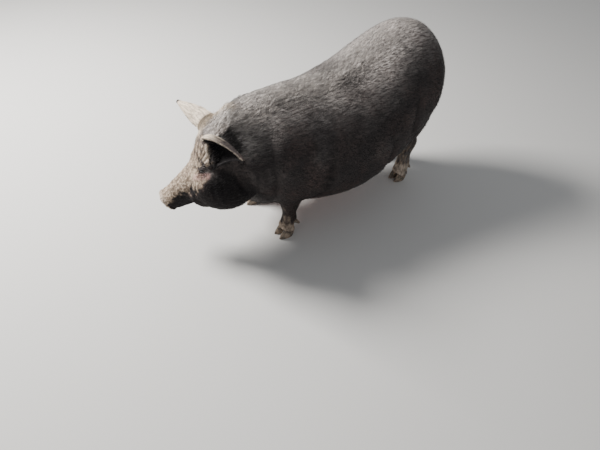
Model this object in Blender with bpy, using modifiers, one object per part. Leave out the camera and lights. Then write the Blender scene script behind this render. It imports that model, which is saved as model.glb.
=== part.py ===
"""A native black sow, life size and still: it stands with its head lowered and turned to its right.

Metres, +Z up. The sow faces -X, so its left side faces -Y and its right side +Y. Inside this file
a place on the body is (ahead, left, up): metres ahead of the rearmost point of the rump, metres to
the sow's left, and metres above the floor. The solids give the outline out to the coat's tips.
The flesh is modelled whole and then parted by thin cuts. Eyes, ears, tail and hooves are separate.
"""

import math
from collections import namedtuple

import bmesh
import bpy
import numpy as np
from mathutils import Matrix, Vector

# ---- driving dimensions, in metres and degrees -------------------------------------------------
TRUNK_LENGTH = 0.80  # rump to the base of the neck
HEAD_LENGTH = 0.302  # back of the skull to the face of the snout
HEAD_PITCH = 41.0  # nose down
HEAD_YAW = 24.0  # nose towards the sow's right
SKULL = (0.832, 0.026, 0.380)  # centre of the back of the skull
CORONET = 0.034  # height of the hooves' upper edge
GAP = 0.0003  # between pieces that meet
VOXEL = 0.006
SMOOTHING = 10
FLESH_TRIANGLES = 3350
TRUNK_GRID = (60, 48)  # rings and places round each ring
HEAD_GRID = (44, 40)
LEG_GRID = (36, 24)
TAIL_GRID = (15, 8)

Trunk = namedtuple("Trunk", "share back belly middle half crown keel")
TRUNK = (
    Trunk(0.000, 0.425, 0.375, 0.400, 0.014, 2.0, 2.0),
    Trunk(0.018, 0.520, 0.310, 0.415, 0.092, 2.0, 2.0),
    Trunk(0.070, 0.582, 0.262, 0.400, 0.150, 2.0, 2.0),
    Trunk(0.170, 0.618, 0.208, 0.370, 0.183, 2.0, 2.0),
    Trunk(0.290, 0.599, 0.140, 0.320, 0.198, 2.0, 2.2),
    Trunk(0.450, 0.526, 0.093, 0.285, 0.214, 2.1, 2.4),
    Trunk(0.620, 0.485, 0.086, 0.273, 0.214, 2.1, 2.4),
    Trunk(0.770, 0.488, 0.096, 0.284, 0.196, 2.0, 2.2),
    Trunk(0.890, 0.488, 0.120, 0.299, 0.176, 2.0, 2.1),
    Trunk(1.000, 0.470, 0.152, 0.314, 0.156, 2.0, 2.1),
)
NECK_TURN = (0.55, 0.8)  # share of the head's pitch and yaw that the neck has at the skull
NECK_SECTION = (0.102, 0.130, 0.128)  # rise, drop and half width where the neck meets the skull

Skull = namedtuple("Skull", "share rise drop half crown keel")
HEAD = (
    Skull(-0.10, 0.092, 0.110, 0.115, 2.1, 2.1),
    Skull(0.02, 0.102, 0.118, 0.122, 2.1, 2.1),
    Skull(0.16, 0.100, 0.120, 0.117, 2.2, 2.2),
    Skull(0.28, 0.086, 0.114, 0.104, 2.3, 2.3),
    Skull(0.40, 0.060, 0.102, 0.086, 2.3, 2.4),
    Skull(0.52, 0.044, 0.084, 0.067, 2.2, 2.4),
    Skull(0.66, 0.039, 0.076, 0.055, 2.1, 2.3),
    Skull(0.80, 0.036, 0.060, 0.046, 2.1, 2.3),
    Skull(0.92, 0.035, 0.045, 0.041, 2.0, 2.2),
    Skull(0.96, 0.038, 0.039, 0.043, 2.0, 2.1),
    Skull(1.00, 0.037, 0.037, 0.041, 2.0, 2.1),
)

# Rounded masses of muscle and fat: centre, then half sizes along, across and up, then lean in
# degrees of the upper end towards the head. Each is on both sides, the left one given.
Mass = namedtuple("Mass", "centre half lean")
BODY_MASSES = (
    Mass((0.172, 0.092, 0.352), (0.128, 0.088, 0.180), -6.0),  # ham
    Mass((0.235, 0.118, 0.245), (0.072, 0.055, 0.085), -12.0),  # stifle
    Mass((0.700, 0.105, 0.295), (0.105, 0.082, 0.150), 12.0),  # shoulder
)
HEAD_MASSES = (  # centres as share ahead, left and up in the head's frame
    Mass((0.290, 0.046, -0.046), (0.112, 0.094, 0.096), 0.0),  # jowl
    Mass((0.520, 0.040, -0.046), (0.070, 0.050, 0.052), 0.0),  # cheek
)

# Leg joints: ahead, left, up, then half depth fore and aft and half width across.
Joint = namedtuple("Joint", "ahead left up deep wide")
FORELEG = (
    Joint(0.715, 0.118, 0.320, 0.085, 0.055),
    Joint(0.672, 0.122, 0.232, 0.060, 0.048),
    Joint(0.676, 0.117, 0.178, 0.043, 0.037),
    Joint(0.682, 0.112, 0.136, 0.034, 0.032),
    Joint(0.680, 0.109, 0.098, 0.025, 0.025),
    Joint(0.678, 0.108, 0.066, 0.029, 0.030),
    Joint(0.690, 0.108, 0.038, 0.027, 0.030),
    Joint(0.700, 0.108, 0.014, 0.029, 0.031),
)
HINDLEG = (
    Joint(0.190, 0.105, 0.385, 0.100, 0.060),
    Joint(0.212, 0.120, 0.280, 0.078, 0.052),
    Joint(0.146, 0.108, 0.214, 0.049, 0.038),
    Joint(0.112, 0.098, 0.172, 0.036, 0.030),
    Joint(0.112, 0.094, 0.126, 0.026, 0.025),
    Joint(0.106, 0.091, 0.074, 0.028, 0.029),
    Joint(0.112, 0.090, 0.040, 0.028, 0.031),
    Joint(0.120, 0.090, 0.014, 0.030, 0.032),
)
LEGS = {"front": FORELEG, "hind": HINDLEG}
FOOT_REACH, FOOT_ASIDE = 0.048, 0.042  # half size of the space that holds a foot
KNEE = {"front": 0.094, "hind": 0.166}  # height of the cut at the knee and at the hock
PLATE_SEGMENTS = 32
LEG_PLATE = {  # oval, seen from the side, that a leg's upper part takes out of the body
    "front": ((0.694, 0.160), (0.116, 0.205), 0.045),
    "hind": ((0.170, 0.215), (0.128, 0.250), 0.035),
}
PLATE_DEPTH = 0.30  # past the widest place on the body
SIDES = {"left": 1, "right": -1}

TEATS_AHEAD = (0.26, 0.33, 0.40, 0.47, 0.545, 0.62)
TEAT_ASIDE = 0.060
TEAT_RADIUS = 0.0075
TEAT_LENGTH = 0.018
UDDER_RADIUS = (0.048, 0.042, 0.030)
UDDER_RISE = 0.018  # of the gland's middle above the belly's surface

# Ears, in the head's frame (share ahead, left, up): where the two rims leave the head, the tip and
# the heel inside the head. Then how far the middle bows to the upper side and the leaf swells, how
# deep the cup is, how far the upper rim rolls over in degrees, and the radius of the ridge that
# closes the ear's front.
Ear = namedtuple("Ear", "upper lower tip heel bow swell cup roll ridge")
EARS = {
    "left": Ear(
        (0.114, 0.065, 0.112),
        (0.146, 0.128, 0.058),
        (-0.148, 0.200, 0.062),
        (0.100, 0.040, 0.030),
        *(0.024, 0.25, 0.036, 38.0, 0.017),
    ),
    "right": Ear(
        (-0.010, -0.052, 0.100),
        (0.200, -0.052, 0.086),
        (0.275, -0.170, 0.145),
        (0.100, -0.020, 0.060),
        *(0.0, 0.0, 0.020, 0.0, 0.0),
    ),
}
EAR_LEAF = (1.5, 0.85)  # how the leaf narrows to its tip
EAR_TIP_HALF = 0.004
EAR_CUP_FALL = 0.6
EAR_THICK = 0.006
EAR_ROOT_ROWS = 2
EAR_GRID = (11, 9)  # places along the ear and across it
RIDGE_INSET = 0.013
RIDGE_SHARES = (-0.8, -0.4, 0.0, 0.4, 0.8)
EYE_RADIUS = 0.0125
EYE_PLACE = (0.335, 0.073, 0.043)  # share ahead, left, up in the head's frame
EYE_GRID = (12, 8)
SNOUT_SHARE = 0.955
MOUTH_BACK = (0.50, -0.052)  # share ahead and height of the mouth's corner
MOUTH_FRONT = (0.97, -0.034)

HEAD_REGION_CENTRE = (0.50, 0.0, 0.020)  # in the head's frame
HEAD_REGION_RADIUS = 0.187
NECK_CUT = (0.765, 0.0, 0.300)  # a place on the cut between neck and trunk
NECK_CUT_LEAN = 22.0

TAIL = (  # ahead, left, up, radius: hangs close behind the hams
    (0.030, 0.000, 0.490, 0.017),
    (-0.010, 0.004, 0.470, 0.015),
    (-0.026, 0.006, 0.420, 0.012),
    (-0.028, 0.000, 0.350, 0.010),
    (-0.024, -0.004, 0.280, 0.008),
    (-0.018, 0.000, 0.225, 0.009),
    (-0.014, 0.004, 0.185, 0.004),
)

# Hoof outline from the floor up: height, how far ahead its middle is, half length, half width.
CLAW_SECTIONS = (
    (0.000, 0.010, 0.0270, 0.0125),
    (0.010, 0.007, 0.0265, 0.0135),
    (0.023, 0.002, 0.0235, 0.0135),
    (CORONET - GAP, -0.003, 0.0205, 0.0130),
)
CLAW_ASIDE = 0.0155
CLAW_POINT = 0.28  # how much the toe narrows
CLAW_SEGMENTS = 12
DEWCLAW_RADIUS = 0.0085
DEWCLAW_LENGTH = 0.024
DEWCLAW_BACK = 0.022
DEWCLAW_ROOT = (0.012, 0.017, 0.004)  # behind, aside and below the fetlock
DEWCLAW_TAPER = 0.45
DEWCLAW_SEGMENTS = 8

SLATE = (0.060, 0.052, 0.052)
MUDDY = (0.300, 0.240, 0.180)
PINK = (0.420, 0.290, 0.260)
HORN = (0.230, 0.185, 0.135)
EYE_BROWN = (0.020, 0.011, 0.007)


# ---- places and shapes -------------------------------------------------------------------------
def place(ahead, left, up):
    """A body place as a point: the sow faces -X and its left side faces -Y."""
    return Vector((-ahead, -left, up))


def axes_at(pitch, yaw):
    """(ahead, left, up) of a section with the nose pitched down and turned right, in radians."""
    ahead = Vector(
        (-math.cos(pitch) * math.cos(yaw), math.cos(pitch) * math.sin(yaw), -math.sin(pitch))
    )
    left = Vector((-math.sin(yaw), -math.cos(yaw), 0.0))
    return ahead, left, ahead.cross(left)


HEAD_AHEAD, HEAD_LEFT, HEAD_UP = axes_at(math.radians(HEAD_PITCH), math.radians(HEAD_YAW))


def on_head(share, left, up):
    """A point in the head's frame: share of its length ahead, then metres left and up."""
    start = place(*SKULL)
    return start + HEAD_AHEAD * (share * HEAD_LENGTH) + HEAD_LEFT * left + HEAD_UP * up


def head_vector(ahead, left, up):
    return (HEAD_AHEAD * ahead + HEAD_LEFT * left + HEAD_UP * up).normalized()


def smooth_rows(keys, rows, at):
    """The rows at the given keys, on a smooth cubic through every row."""
    keys, rows, at = (np.asarray(values, float) for values in (keys, rows, at))
    step = np.diff(keys)
    slope = np.diff(rows, axis=0) / step[:, None]
    before, after = step[:-1, None], step[1:, None]
    inner = (slope[:-1] * after + slope[1:] * before) / (before + after)
    tangent = np.vstack([slope[:1], inner, slope[-1:]])
    i = np.clip(np.searchsorted(keys, at, side="right") - 1, 0, len(keys) - 2)
    wide = step[i][:, None]
    t = ((at - keys[i]) / step[i])[:, None]
    return (
        (2 * t**3 - 3 * t**2 + 1) * rows[i]
        + (t**3 - 2 * t**2 + t) * wide * tangent[i]
        + (3 * t**2 - 2 * t**3) * rows[i + 1]
        + (t**3 - t**2) * wide * tangent[i + 1]
    )


def along(points):
    """Distance along a run of points, from 0."""
    steps = np.linalg.norm(np.diff(np.asarray(points, float), axis=0), axis=1)
    return np.concatenate([[0.0], np.cumsum(steps)])


def mesh_object(name, points, faces):
    """A closed mesh object with its faces pointing out."""
    mesh = bpy.data.meshes.new(name)
    mesh.from_pydata([tuple(point) for point in points], [], faces)
    work = bmesh.new()
    work.from_mesh(mesh)
    bmesh.ops.recalc_face_normals(work, faces=work.faces)
    work.to_mesh(mesh)
    work.free()
    made = bpy.data.objects.new(name, mesh)
    bpy.context.scene.collection.objects.link(made)
    return made


def ring_faces(rings, segments):
    """Faces of a stack of closed rings, with a cap at each end."""
    faces = []
    for i in range(rings - 1):
        for j in range(segments):
            k = (j + 1) % segments
            row, upper = i * segments, (i + 1) * segments
            faces.append((row + j, row + k, upper + k, upper + j))
    faces.append(tuple(range(segments)))
    faces.append(tuple(range((rings - 1) * segments, rings * segments)))
    return faces


def superellipse(segments, half, rise, drop, crown, keel):
    """Offsets (across, up) round a section whose upper and lower halves differ."""
    turn = np.linspace(0, 2 * math.pi, segments, endpoint=False)
    cos, sin = np.cos(turn), np.sin(turn)
    power = 2 / np.where(sin >= 0, crown, keel)
    across = half * np.sign(cos) * np.abs(cos) ** power
    up = np.where(sin >= 0, rise, drop) * np.sign(sin) * np.abs(sin) ** power
    return across, up


def loft(name, rows, rings, segments):
    """A body over rows of (x, y, z, pitch, yaw, half, rise, drop, crown, keel)."""
    keys = along([row[:3] for row in rows])
    points = []
    for row in smooth_rows(keys, rows, np.linspace(0, keys[-1], rings)):
        _, left, up = axes_at(row[3], row[4])
        across, above = superellipse(segments, *row[5:])
        middle = np.array(row[:3])
        points.extend(middle + np.outer(across, left) + np.outer(above, up))
    return mesh_object(name, points, ring_faces(rings, segments))


def ball(name, centre, half, lean=0.0, fineness=4):
    """An ellipsoid; lean tips its upper end towards the head, in degrees."""
    work = bmesh.new()
    bmesh.ops.create_icosphere(work, subdivisions=fineness, radius=1.0)
    turn = Matrix.Rotation(-math.radians(lean), 4, "Y")
    work.transform(Matrix.Translation(centre) @ turn @ Matrix.Diagonal((*half, 1.0)))
    mesh = bpy.data.meshes.new(name)
    work.to_mesh(mesh)
    work.free()
    made = bpy.data.objects.new(name, mesh)
    bpy.context.scene.collection.objects.link(made)
    return made


# ---- mesh tools --------------------------------------------------------------------------------
def modified(made, kind, **settings):
    """The object with one modifier applied."""
    modifier = made.modifiers.new(kind.title(), kind)
    for key, value in settings.items():
        setattr(modifier, key, value)
    bpy.context.view_layer.update()
    evaluated = made.evaluated_get(bpy.context.evaluated_depsgraph_get())
    mesh = bpy.data.meshes.new_from_object(evaluated)
    made.modifiers.clear()
    made.data = mesh
    return made


def copy_of(made, name):
    copy = bpy.data.objects.new(name, made.data.copy())
    bpy.context.scene.collection.objects.link(copy)
    return copy


def boolean(made, other, operation):
    """The object after an exact Boolean with another, which is then removed."""
    modified(made, "BOOLEAN", operation=operation, solver="EXACT", object=other)
    bpy.data.objects.remove(other, do_unlink=True)
    return made


def joined(name, pieces):
    """Several meshes as one object, in world space."""
    work = bmesh.new()
    for piece in pieces:
        work.from_mesh(piece.data)
        bpy.data.objects.remove(piece, do_unlink=True)
    mesh = bpy.data.meshes.new(name)
    work.to_mesh(mesh)
    work.free()
    made = bpy.data.objects.new(name, mesh)
    bpy.context.scene.collection.objects.link(made)
    return made


def block(name, low, high, frame=None):
    """A box between two corners, in world axes or in a frame given as a 4x4 matrix."""
    low, high = Vector(low), Vector(high)
    work = bmesh.new()
    bmesh.ops.create_cube(work, size=1.0)
    size = Matrix.Diagonal((*(high - low), 1.0))
    work.transform((frame or Matrix.Identity(4)) @ Matrix.Translation((low + high) / 2) @ size)
    mesh = bpy.data.meshes.new(name)
    work.to_mesh(mesh)
    work.free()
    made = bpy.data.objects.new(name, mesh)
    bpy.context.scene.collection.objects.link(made)
    return made


# ---- the flesh ---------------------------------------------------------------------------------
def trunk_and_neck():
    rows = []
    for part in TRUNK:
        ahead = part.share * TRUNK_LENGTH
        rise, drop = part.back - part.middle, part.middle - part.belly
        middle = place(ahead, 0.0, part.middle)
        rows.append((*middle, 0.0, 0.0, part.half, rise, drop, part.crown, part.keel))
    pitch = math.radians(HEAD_PITCH * NECK_TURN[0])
    yaw = math.radians(HEAD_YAW * NECK_TURN[1])
    rise, drop, half = NECK_SECTION
    rows.append((*place(*SKULL), pitch, yaw, half, rise, drop, 2.1, 2.1))
    return loft("trunk and neck", rows, *TRUNK_GRID)


def head_mass():
    pitch, yaw = math.radians(HEAD_PITCH), math.radians(HEAD_YAW)
    rows = []
    for part in HEAD:
        middle = on_head(part.share, 0.0, 0.0)
        shape = (part.half, part.rise, part.drop, part.crown, part.keel)
        rows.append((*middle, pitch, yaw, *shape))
    return loft("head mass", rows, *HEAD_GRID)


def masses():
    made = []
    for sign in SIDES.values():
        for mass in BODY_MASSES:
            ahead, left, up = mass.centre
            made.append(ball("mass", place(ahead, sign * left, up), mass.half, mass.lean))
        for mass in HEAD_MASSES:
            share, left, up = mass.centre
            made.append(ball("mass", on_head(share, sign * left, up), mass.half, mass.lean))
    return made


def leg_mass(joints, sign):
    rows = [(*place(j.ahead, sign * j.left, j.up), j.deep, j.wide) for j in joints]
    keys = along([row[:3] for row in rows])
    rings, segments = LEG_GRID
    turn = np.linspace(0, 2 * math.pi, segments, endpoint=False)
    points = []
    for x, y, z, deep, wide in smooth_rows(keys, rows, np.linspace(0, keys[-1], rings)):
        for angle in turn:
            points.append((x + deep * math.cos(angle), y + wide * math.sin(angle), z))
    return mesh_object("leg mass", points, ring_faces(rings, segments))


def belly_at(ahead, left):
    """Height of the belly's surface at a place."""
    keys = [part.share * TRUNK_LENGTH for part in TRUNK]
    rows = [(part.middle, part.belly, part.half, part.keel) for part in TRUNK]
    middle, belly, half, keel = smooth_rows(keys, rows, [ahead])[0]
    return middle - (middle - belly) * (1 - (left / half) ** keel) ** (1 / keel)


def udder():
    made = []
    for ahead in TEATS_AHEAD:
        height = belly_at(ahead, TEAT_ASIDE)
        for sign in SIDES.values():
            left = sign * TEAT_ASIDE
            made.append(ball("udder", place(ahead, left, height + UDDER_RISE), UDDER_RADIUS))
            tip = place(ahead, left, height - TEAT_LENGTH / 2)
            made.append(ball("teat", tip, (TEAT_RADIUS, TEAT_RADIUS, TEAT_LENGTH * 0.6)))
    return made


def whole_flesh():
    pieces = [trunk_and_neck(), head_mass(), *masses(), *udder()]
    for ear in EARS.values():
        if ear.ridge:
            pieces += ear_ridge(ear)
    for joints in LEGS.values():
        for sign in SIDES.values():
            pieces.append(leg_mass(joints, sign))
    flesh = joined("flesh", pieces)
    modified(flesh, "REMESH", mode="VOXEL", voxel_size=VOXEL)
    modified(flesh, "SMOOTH", factor=0.5, iterations=SMOOTHING)
    triangles = sum(len(face.vertices) - 2 for face in flesh.data.polygons)
    modified(flesh, "DECIMATE", ratio=FLESH_TRIANGLES / triangles, use_collapse_triangulate=True)
    floor = block("under the coronet", (-2, -1, -1), (1, 1, CORONET))
    return boolean(flesh, floor, "DIFFERENCE")


def parted(flesh, name, cutter):
    """Cuts a named piece out of the flesh; cutter(grow) makes the region's solid."""
    piece = boolean(copy_of(flesh, name), cutter(0.0), "INTERSECT")
    boolean(flesh, cutter(GAP), "DIFFERENCE")
    return piece


def foot_region(which, sign):
    joints = LEGS[which]
    ahead = sum(joint.ahead for joint in joints[3:]) / len(joints[3:])
    left = joints[-1].left

    def cutter(grow):
        reach = FOOT_REACH + grow
        low = place(ahead + reach, sign * left, -0.05)
        high = place(ahead - reach, sign * left, KNEE[which] + grow)
        side = FOOT_ASIDE + grow
        low.y, high.y = -sign * left - side, -sign * left + side
        return block("foot region", low, high)

    return cutter


def plate_region(which, sign):
    (ahead, up), (long, tall), inner = LEG_PLATE[which]

    def cutter(grow):
        points = []
        for left in (inner - grow, PLATE_DEPTH):
            for i in range(PLATE_SEGMENTS):
                angle = 2 * math.pi * i / PLATE_SEGMENTS
                across = ahead + (long + grow) * math.cos(angle)
                height = up + (tall + grow) * math.sin(angle)
                points.append(place(across, sign * left, height))
        return mesh_object("plate region", points, ring_faces(2, PLATE_SEGMENTS))

    return cutter


def head_frame(share, up, tilt=0.0):
    """A 4x4 frame on the head: X ahead, Y left, Z up, tipped nose up by tilt radians."""
    spin = Matrix((HEAD_AHEAD, HEAD_LEFT, HEAD_UP)).transposed().to_4x4()
    return Matrix.Translation(on_head(share, 0.0, up)) @ spin @ Matrix.Rotation(-tilt, 4, "Y")


def snout_region(grow):
    return block("snout region", (-grow, -0.1, -0.1), (0.1, 0.1, 0.1), head_frame(SNOUT_SHARE, 0.0))


def jaw_region(grow):
    rise = MOUTH_FRONT[1] - MOUTH_BACK[1]
    run = (MOUTH_FRONT[0] - MOUTH_BACK[0]) * HEAD_LENGTH
    frame = head_frame(*MOUTH_BACK, math.atan2(rise, run))
    return block("jaw region", (-grow, -0.12, -0.12), (0.3, 0.12, grow), frame)


def head_region(grow):
    radius = HEAD_REGION_RADIUS + grow
    return ball("head region", on_head(*HEAD_REGION_CENTRE), (radius, radius, radius), fineness=2)


def neck_region(grow):
    lean = Matrix.Rotation(math.radians(NECK_CUT_LEAN), 4, "Y")
    frame = Matrix.Translation(place(*NECK_CUT)) @ lean
    return block("neck region", (-0.6, -0.4, -0.4), (grow, 0.4, 0.4), frame)


# ---- ears, eyes, tail and hooves ---------------------------------------------------------------
def ear_frame(ear):
    """Middle of the root, half the span between the rims, the tip, and the way the hollow faces."""
    upper, lower, tip = (on_head(*spot) for spot in (ear.upper, ear.lower, ear.tip))
    hollow = (lower - upper).cross(tip - upper).normalized()
    return (upper + lower) / 2, (upper - lower) / 2, tip, hollow


def ear_solid(name, ear):
    """A cupped leaf between two rims: an open grid thickened by Solidify."""
    root, span, tip, hollow = ear_frame(ear)
    heel = on_head(*ear.heel)
    rows, columns = EAR_GRID
    points = []
    for i in range(rows):
        s = max(i - EAR_ROOT_ROWS, 0) / (rows - 1 - EAR_ROOT_ROWS)
        bulge = 4 * s * (1 - s)
        middle = root.lerp(tip, s) if i >= EAR_ROOT_ROWS else heel.lerp(root, i / EAR_ROOT_ROWS)
        middle = middle + span.normalized() * (ear.bow * bulge)
        leaf = (1 - s ** EAR_LEAF[0]) ** EAR_LEAF[1] * (1 + ear.swell * bulge)
        half = span * max(leaf, EAR_TIP_HALF / span.length)
        cup = ear.cup * (1 - s) ** EAR_CUP_FALL + EAR_TIP_HALF
        turn = math.pi + math.radians(ear.roll) * math.sin(math.pi * s**0.8)
        for j in range(columns):
            angle = turn * j / (columns - 1) - math.pi / 2
            points.append(middle + half * math.sin(angle) - hollow * (cup * math.cos(angle)))
    faces = []
    for i in range(rows - 1):
        for j in range(columns - 1):
            a = i * columns + j
            faces.append((a, a + 1, a + columns + 1, a + columns))
    mesh = bpy.data.meshes.new(name)
    mesh.from_pydata([tuple(point) for point in points], [], faces)
    made = bpy.data.objects.new(name, mesh)
    bpy.context.scene.collection.objects.link(made)
    return modified(made, "SOLIDIFY", thickness=EAR_THICK, offset=0.0, use_even_offset=True)


def ear_ridge(ear):
    """Balls that close the front of an ear between its rims."""
    root, span, tip, hollow = ear_frame(ear)
    middle = root - (hollow + (tip - root).normalized()) * RIDGE_INSET
    half = (ear.ridge, ear.ridge, ear.ridge)
    return [ball("ridge", middle + span * share, half, fineness=3) for share in RIDGE_SHARES]


def tail_solid():
    rows = [(*place(*spot[:3]), spot[3]) for spot in TAIL]
    keys = along([row[:3] for row in rows])
    rings, segments = TAIL_GRID
    fine = smooth_rows(keys, rows, np.linspace(0, keys[-1], rings))
    run = np.gradient(fine[:, :3], axis=0)
    points = []
    for row, ahead in zip(fine, run):
        ahead = Vector(ahead).normalized()
        side = Vector((0, 1, 0))
        side = (side - ahead * side.dot(ahead)).normalized()
        third = ahead.cross(side)
        for k in range(segments):
            angle = 2 * math.pi * k / segments
            offset = side * math.cos(angle) + third * math.sin(angle)
            points.append(Vector(row[:3]) + offset * row[3])
    return mesh_object("tail", points, ring_faces(rings, segments))


def eye_centre(sign):
    share, left, up = EYE_PLACE
    return on_head(share, sign * left, up)


def eye_solid(name, sign, grow=0.0):
    work = bmesh.new()
    radius = EYE_RADIUS + grow
    bmesh.ops.create_uvsphere(work, u_segments=EYE_GRID[0], v_segments=EYE_GRID[1], radius=radius)
    work.transform(Matrix.Translation(eye_centre(sign)))
    mesh = bpy.data.meshes.new(name)
    work.to_mesh(mesh)
    work.free()
    made = bpy.data.objects.new(name, mesh)
    bpy.context.scene.collection.objects.link(made)
    return made


def claw_solid(name, foot, sign, side):
    """One main claw: flat sole on the floor, egg-shaped outline, sloping toe."""
    points = []
    for up, shift, long, wide in CLAW_SECTIONS:
        for k in range(CLAW_SEGMENTS):
            angle = 2 * math.pi * k / CLAW_SEGMENTS
            ahead = foot.ahead + shift + long * math.cos(angle)
            narrow = 1 - CLAW_POINT * math.cos(angle)
            left = sign * foot.left + side * CLAW_ASIDE + wide * math.sin(angle) * narrow
            points.append(place(ahead, left, up))
    return mesh_object(name, points, ring_faces(len(CLAW_SECTIONS), CLAW_SEGMENTS))


def dewclaw_solid(name, joints, sign, side):
    """A small claw behind the fetlock, pointing down and back."""
    fetlock = joints[5]
    behind, aside, below = DEWCLAW_ROOT
    root = place(fetlock.ahead - behind, sign * fetlock.left + side * aside, fetlock.up - below)
    tip = root + place(-DEWCLAW_BACK, 0.0, -DEWCLAW_LENGTH)
    run = (tip - root).normalized()
    spin = run.to_track_quat("Z", "Y").to_matrix().to_4x4()
    work = bmesh.new()
    bmesh.ops.create_cone(
        work,
        cap_ends=True,
        segments=DEWCLAW_SEGMENTS,
        radius1=DEWCLAW_RADIUS,
        radius2=DEWCLAW_RADIUS * DEWCLAW_TAPER,
        depth=(tip - root).length,
    )
    work.transform(Matrix.Translation((root + tip) / 2) @ spin)
    mesh = bpy.data.meshes.new(name)
    work.to_mesh(mesh)
    work.free()
    made = bpy.data.objects.new(name, mesh)
    bpy.context.scene.collection.objects.link(made)
    return made


# ---- materials and assembly --------------------------------------------------------------------
def material(name, colour, roughness):
    made = bpy.data.materials.get(name) or bpy.data.materials.new(name)
    made.use_nodes = True
    shader = made.node_tree.nodes["Principled BSDF"]
    shader.inputs["Base Color"].default_value = (*colour, 1.0)
    shader.inputs["Roughness"].default_value = roughness
    shader.inputs["Metallic"].default_value = 0.0
    return made


def finish(made, colour, roughness):
    made.data.materials.clear()
    made.data.materials.append(material(made.name, colour, roughness))


def clear_scene():
    for item in list(bpy.data.objects):
        bpy.data.objects.remove(item, do_unlink=True)


def build_flesh():
    flesh = whole_flesh()
    shell = modified(copy_of(flesh, "flesh and gap"), "DISPLACE", strength=GAP, mid_level=0.0)
    pieces = []
    for which in LEGS:
        for side, sign in SIDES.items():
            leg = f"leg_{which}_{side}"
            pieces.append(parted(flesh, f"{leg}_lower", foot_region(which, sign)))
            pieces.append(parted(flesh, f"{leg}_upper", plate_region(which, sign)))
    pieces.append(parted(flesh, "snout", snout_region))
    pieces.append(parted(flesh, "jaw", jaw_region))
    head = parted(flesh, "head", head_region)
    for sign in SIDES.values():
        boolean(head, eye_solid("socket", sign, GAP), "DIFFERENCE")
    pieces.append(head)
    pieces.append(parted(flesh, "neck", neck_region))
    flesh.name = "trunk"
    pieces.append(flesh)
    return pieces, shell


def build():
    clear_scene()
    pieces, shell = build_flesh()
    for made in pieces:
        muddy = "lower" in made.name or made.name in ("snout", "jaw")
        finish(made, MUDDY if muddy else SLATE, 0.75)
    for side, sign in SIDES.items():
        ear = boolean(ear_solid(f"ear_{side}", EARS[side]), copy_of(shell, "shell"), "DIFFERENCE")
        finish(ear, PINK, 0.7)
        eye = eye_solid(f"eye_{side}", sign)
        finish(eye, EYE_BROWN, 0.1)
        pieces += [ear, eye]
    tail = boolean(tail_solid(), copy_of(shell, "shell"), "DIFFERENCE")
    finish(tail, SLATE, 0.8)
    pieces.append(tail)
    for which, joints in LEGS.items():
        for side, sign in SIDES.items():
            for place_name, outward in (("outer", sign), ("inner", -sign)):
                name = f"{which}_{side}_{place_name}"
                claw = claw_solid(f"hoof_{name}", joints[-2], sign, outward)
                dew = dewclaw_solid(f"dewclaw_{name}", joints, sign, outward)
                boolean(dew, copy_of(shell, "shell"), "DIFFERENCE")
                finish(claw, HORN, 0.6)
                finish(dew, HORN, 0.6)
                pieces += [claw, dew]
    bpy.data.objects.remove(shell, do_unlink=True)
    settle(pieces)
    collection = bpy.data.collections.new("sow")
    bpy.context.scene.collection.children.link(collection)
    for made in pieces:
        collection.objects.link(made)
        bpy.context.scene.collection.objects.unlink(made)


def settle(pieces):
    """Moves every mesh so that the middle of the whole box stands on the origin."""
    corners = np.array([v.co for made in pieces for v in made.data.vertices])
    low, high = corners.min(axis=0), corners.max(axis=0)
    shift = Matrix.Translation((-(low[0] + high[0]) / 2, -(low[1] + high[1]) / 2, 0.0))
    for made in pieces:
        made.data.transform(shift)


build()
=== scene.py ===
import math
from collections import namedtuple

import bmesh
import bpy
import numpy as np
from bpy.props import FloatProperty, FloatVectorProperty, IntProperty, PointerProperty
from mathutils import Matrix, Vector, kdtree, noise


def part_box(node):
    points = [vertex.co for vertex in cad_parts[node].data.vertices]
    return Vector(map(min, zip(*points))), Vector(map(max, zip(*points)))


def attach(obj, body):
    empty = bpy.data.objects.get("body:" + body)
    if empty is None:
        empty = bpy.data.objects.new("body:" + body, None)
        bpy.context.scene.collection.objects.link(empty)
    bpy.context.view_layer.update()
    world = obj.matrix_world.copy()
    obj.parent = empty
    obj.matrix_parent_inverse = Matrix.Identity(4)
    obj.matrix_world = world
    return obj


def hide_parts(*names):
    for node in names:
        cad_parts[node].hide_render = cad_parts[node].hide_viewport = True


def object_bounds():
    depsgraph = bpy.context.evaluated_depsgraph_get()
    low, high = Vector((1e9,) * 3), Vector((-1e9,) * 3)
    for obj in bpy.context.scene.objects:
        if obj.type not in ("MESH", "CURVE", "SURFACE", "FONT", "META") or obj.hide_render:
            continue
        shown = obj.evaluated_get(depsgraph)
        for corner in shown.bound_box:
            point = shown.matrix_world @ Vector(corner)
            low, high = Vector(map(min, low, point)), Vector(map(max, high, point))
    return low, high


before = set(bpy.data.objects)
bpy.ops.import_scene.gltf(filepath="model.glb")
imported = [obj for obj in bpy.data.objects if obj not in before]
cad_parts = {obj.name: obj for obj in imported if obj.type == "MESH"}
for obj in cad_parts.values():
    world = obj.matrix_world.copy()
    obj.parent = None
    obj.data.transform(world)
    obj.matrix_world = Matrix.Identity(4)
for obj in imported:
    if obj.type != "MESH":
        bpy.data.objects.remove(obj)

bl_info = {
    "name": "Black sow",
    "version": (1, 0, 0),
    "blender": (4, 5, 0),
    "location": "View3D > Sidebar > Sow",
    "description": "Skin, bristles, eyes and hooves of a standing sow, and a plain stage",
    "category": "Object",
}

CAD_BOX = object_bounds()

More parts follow.
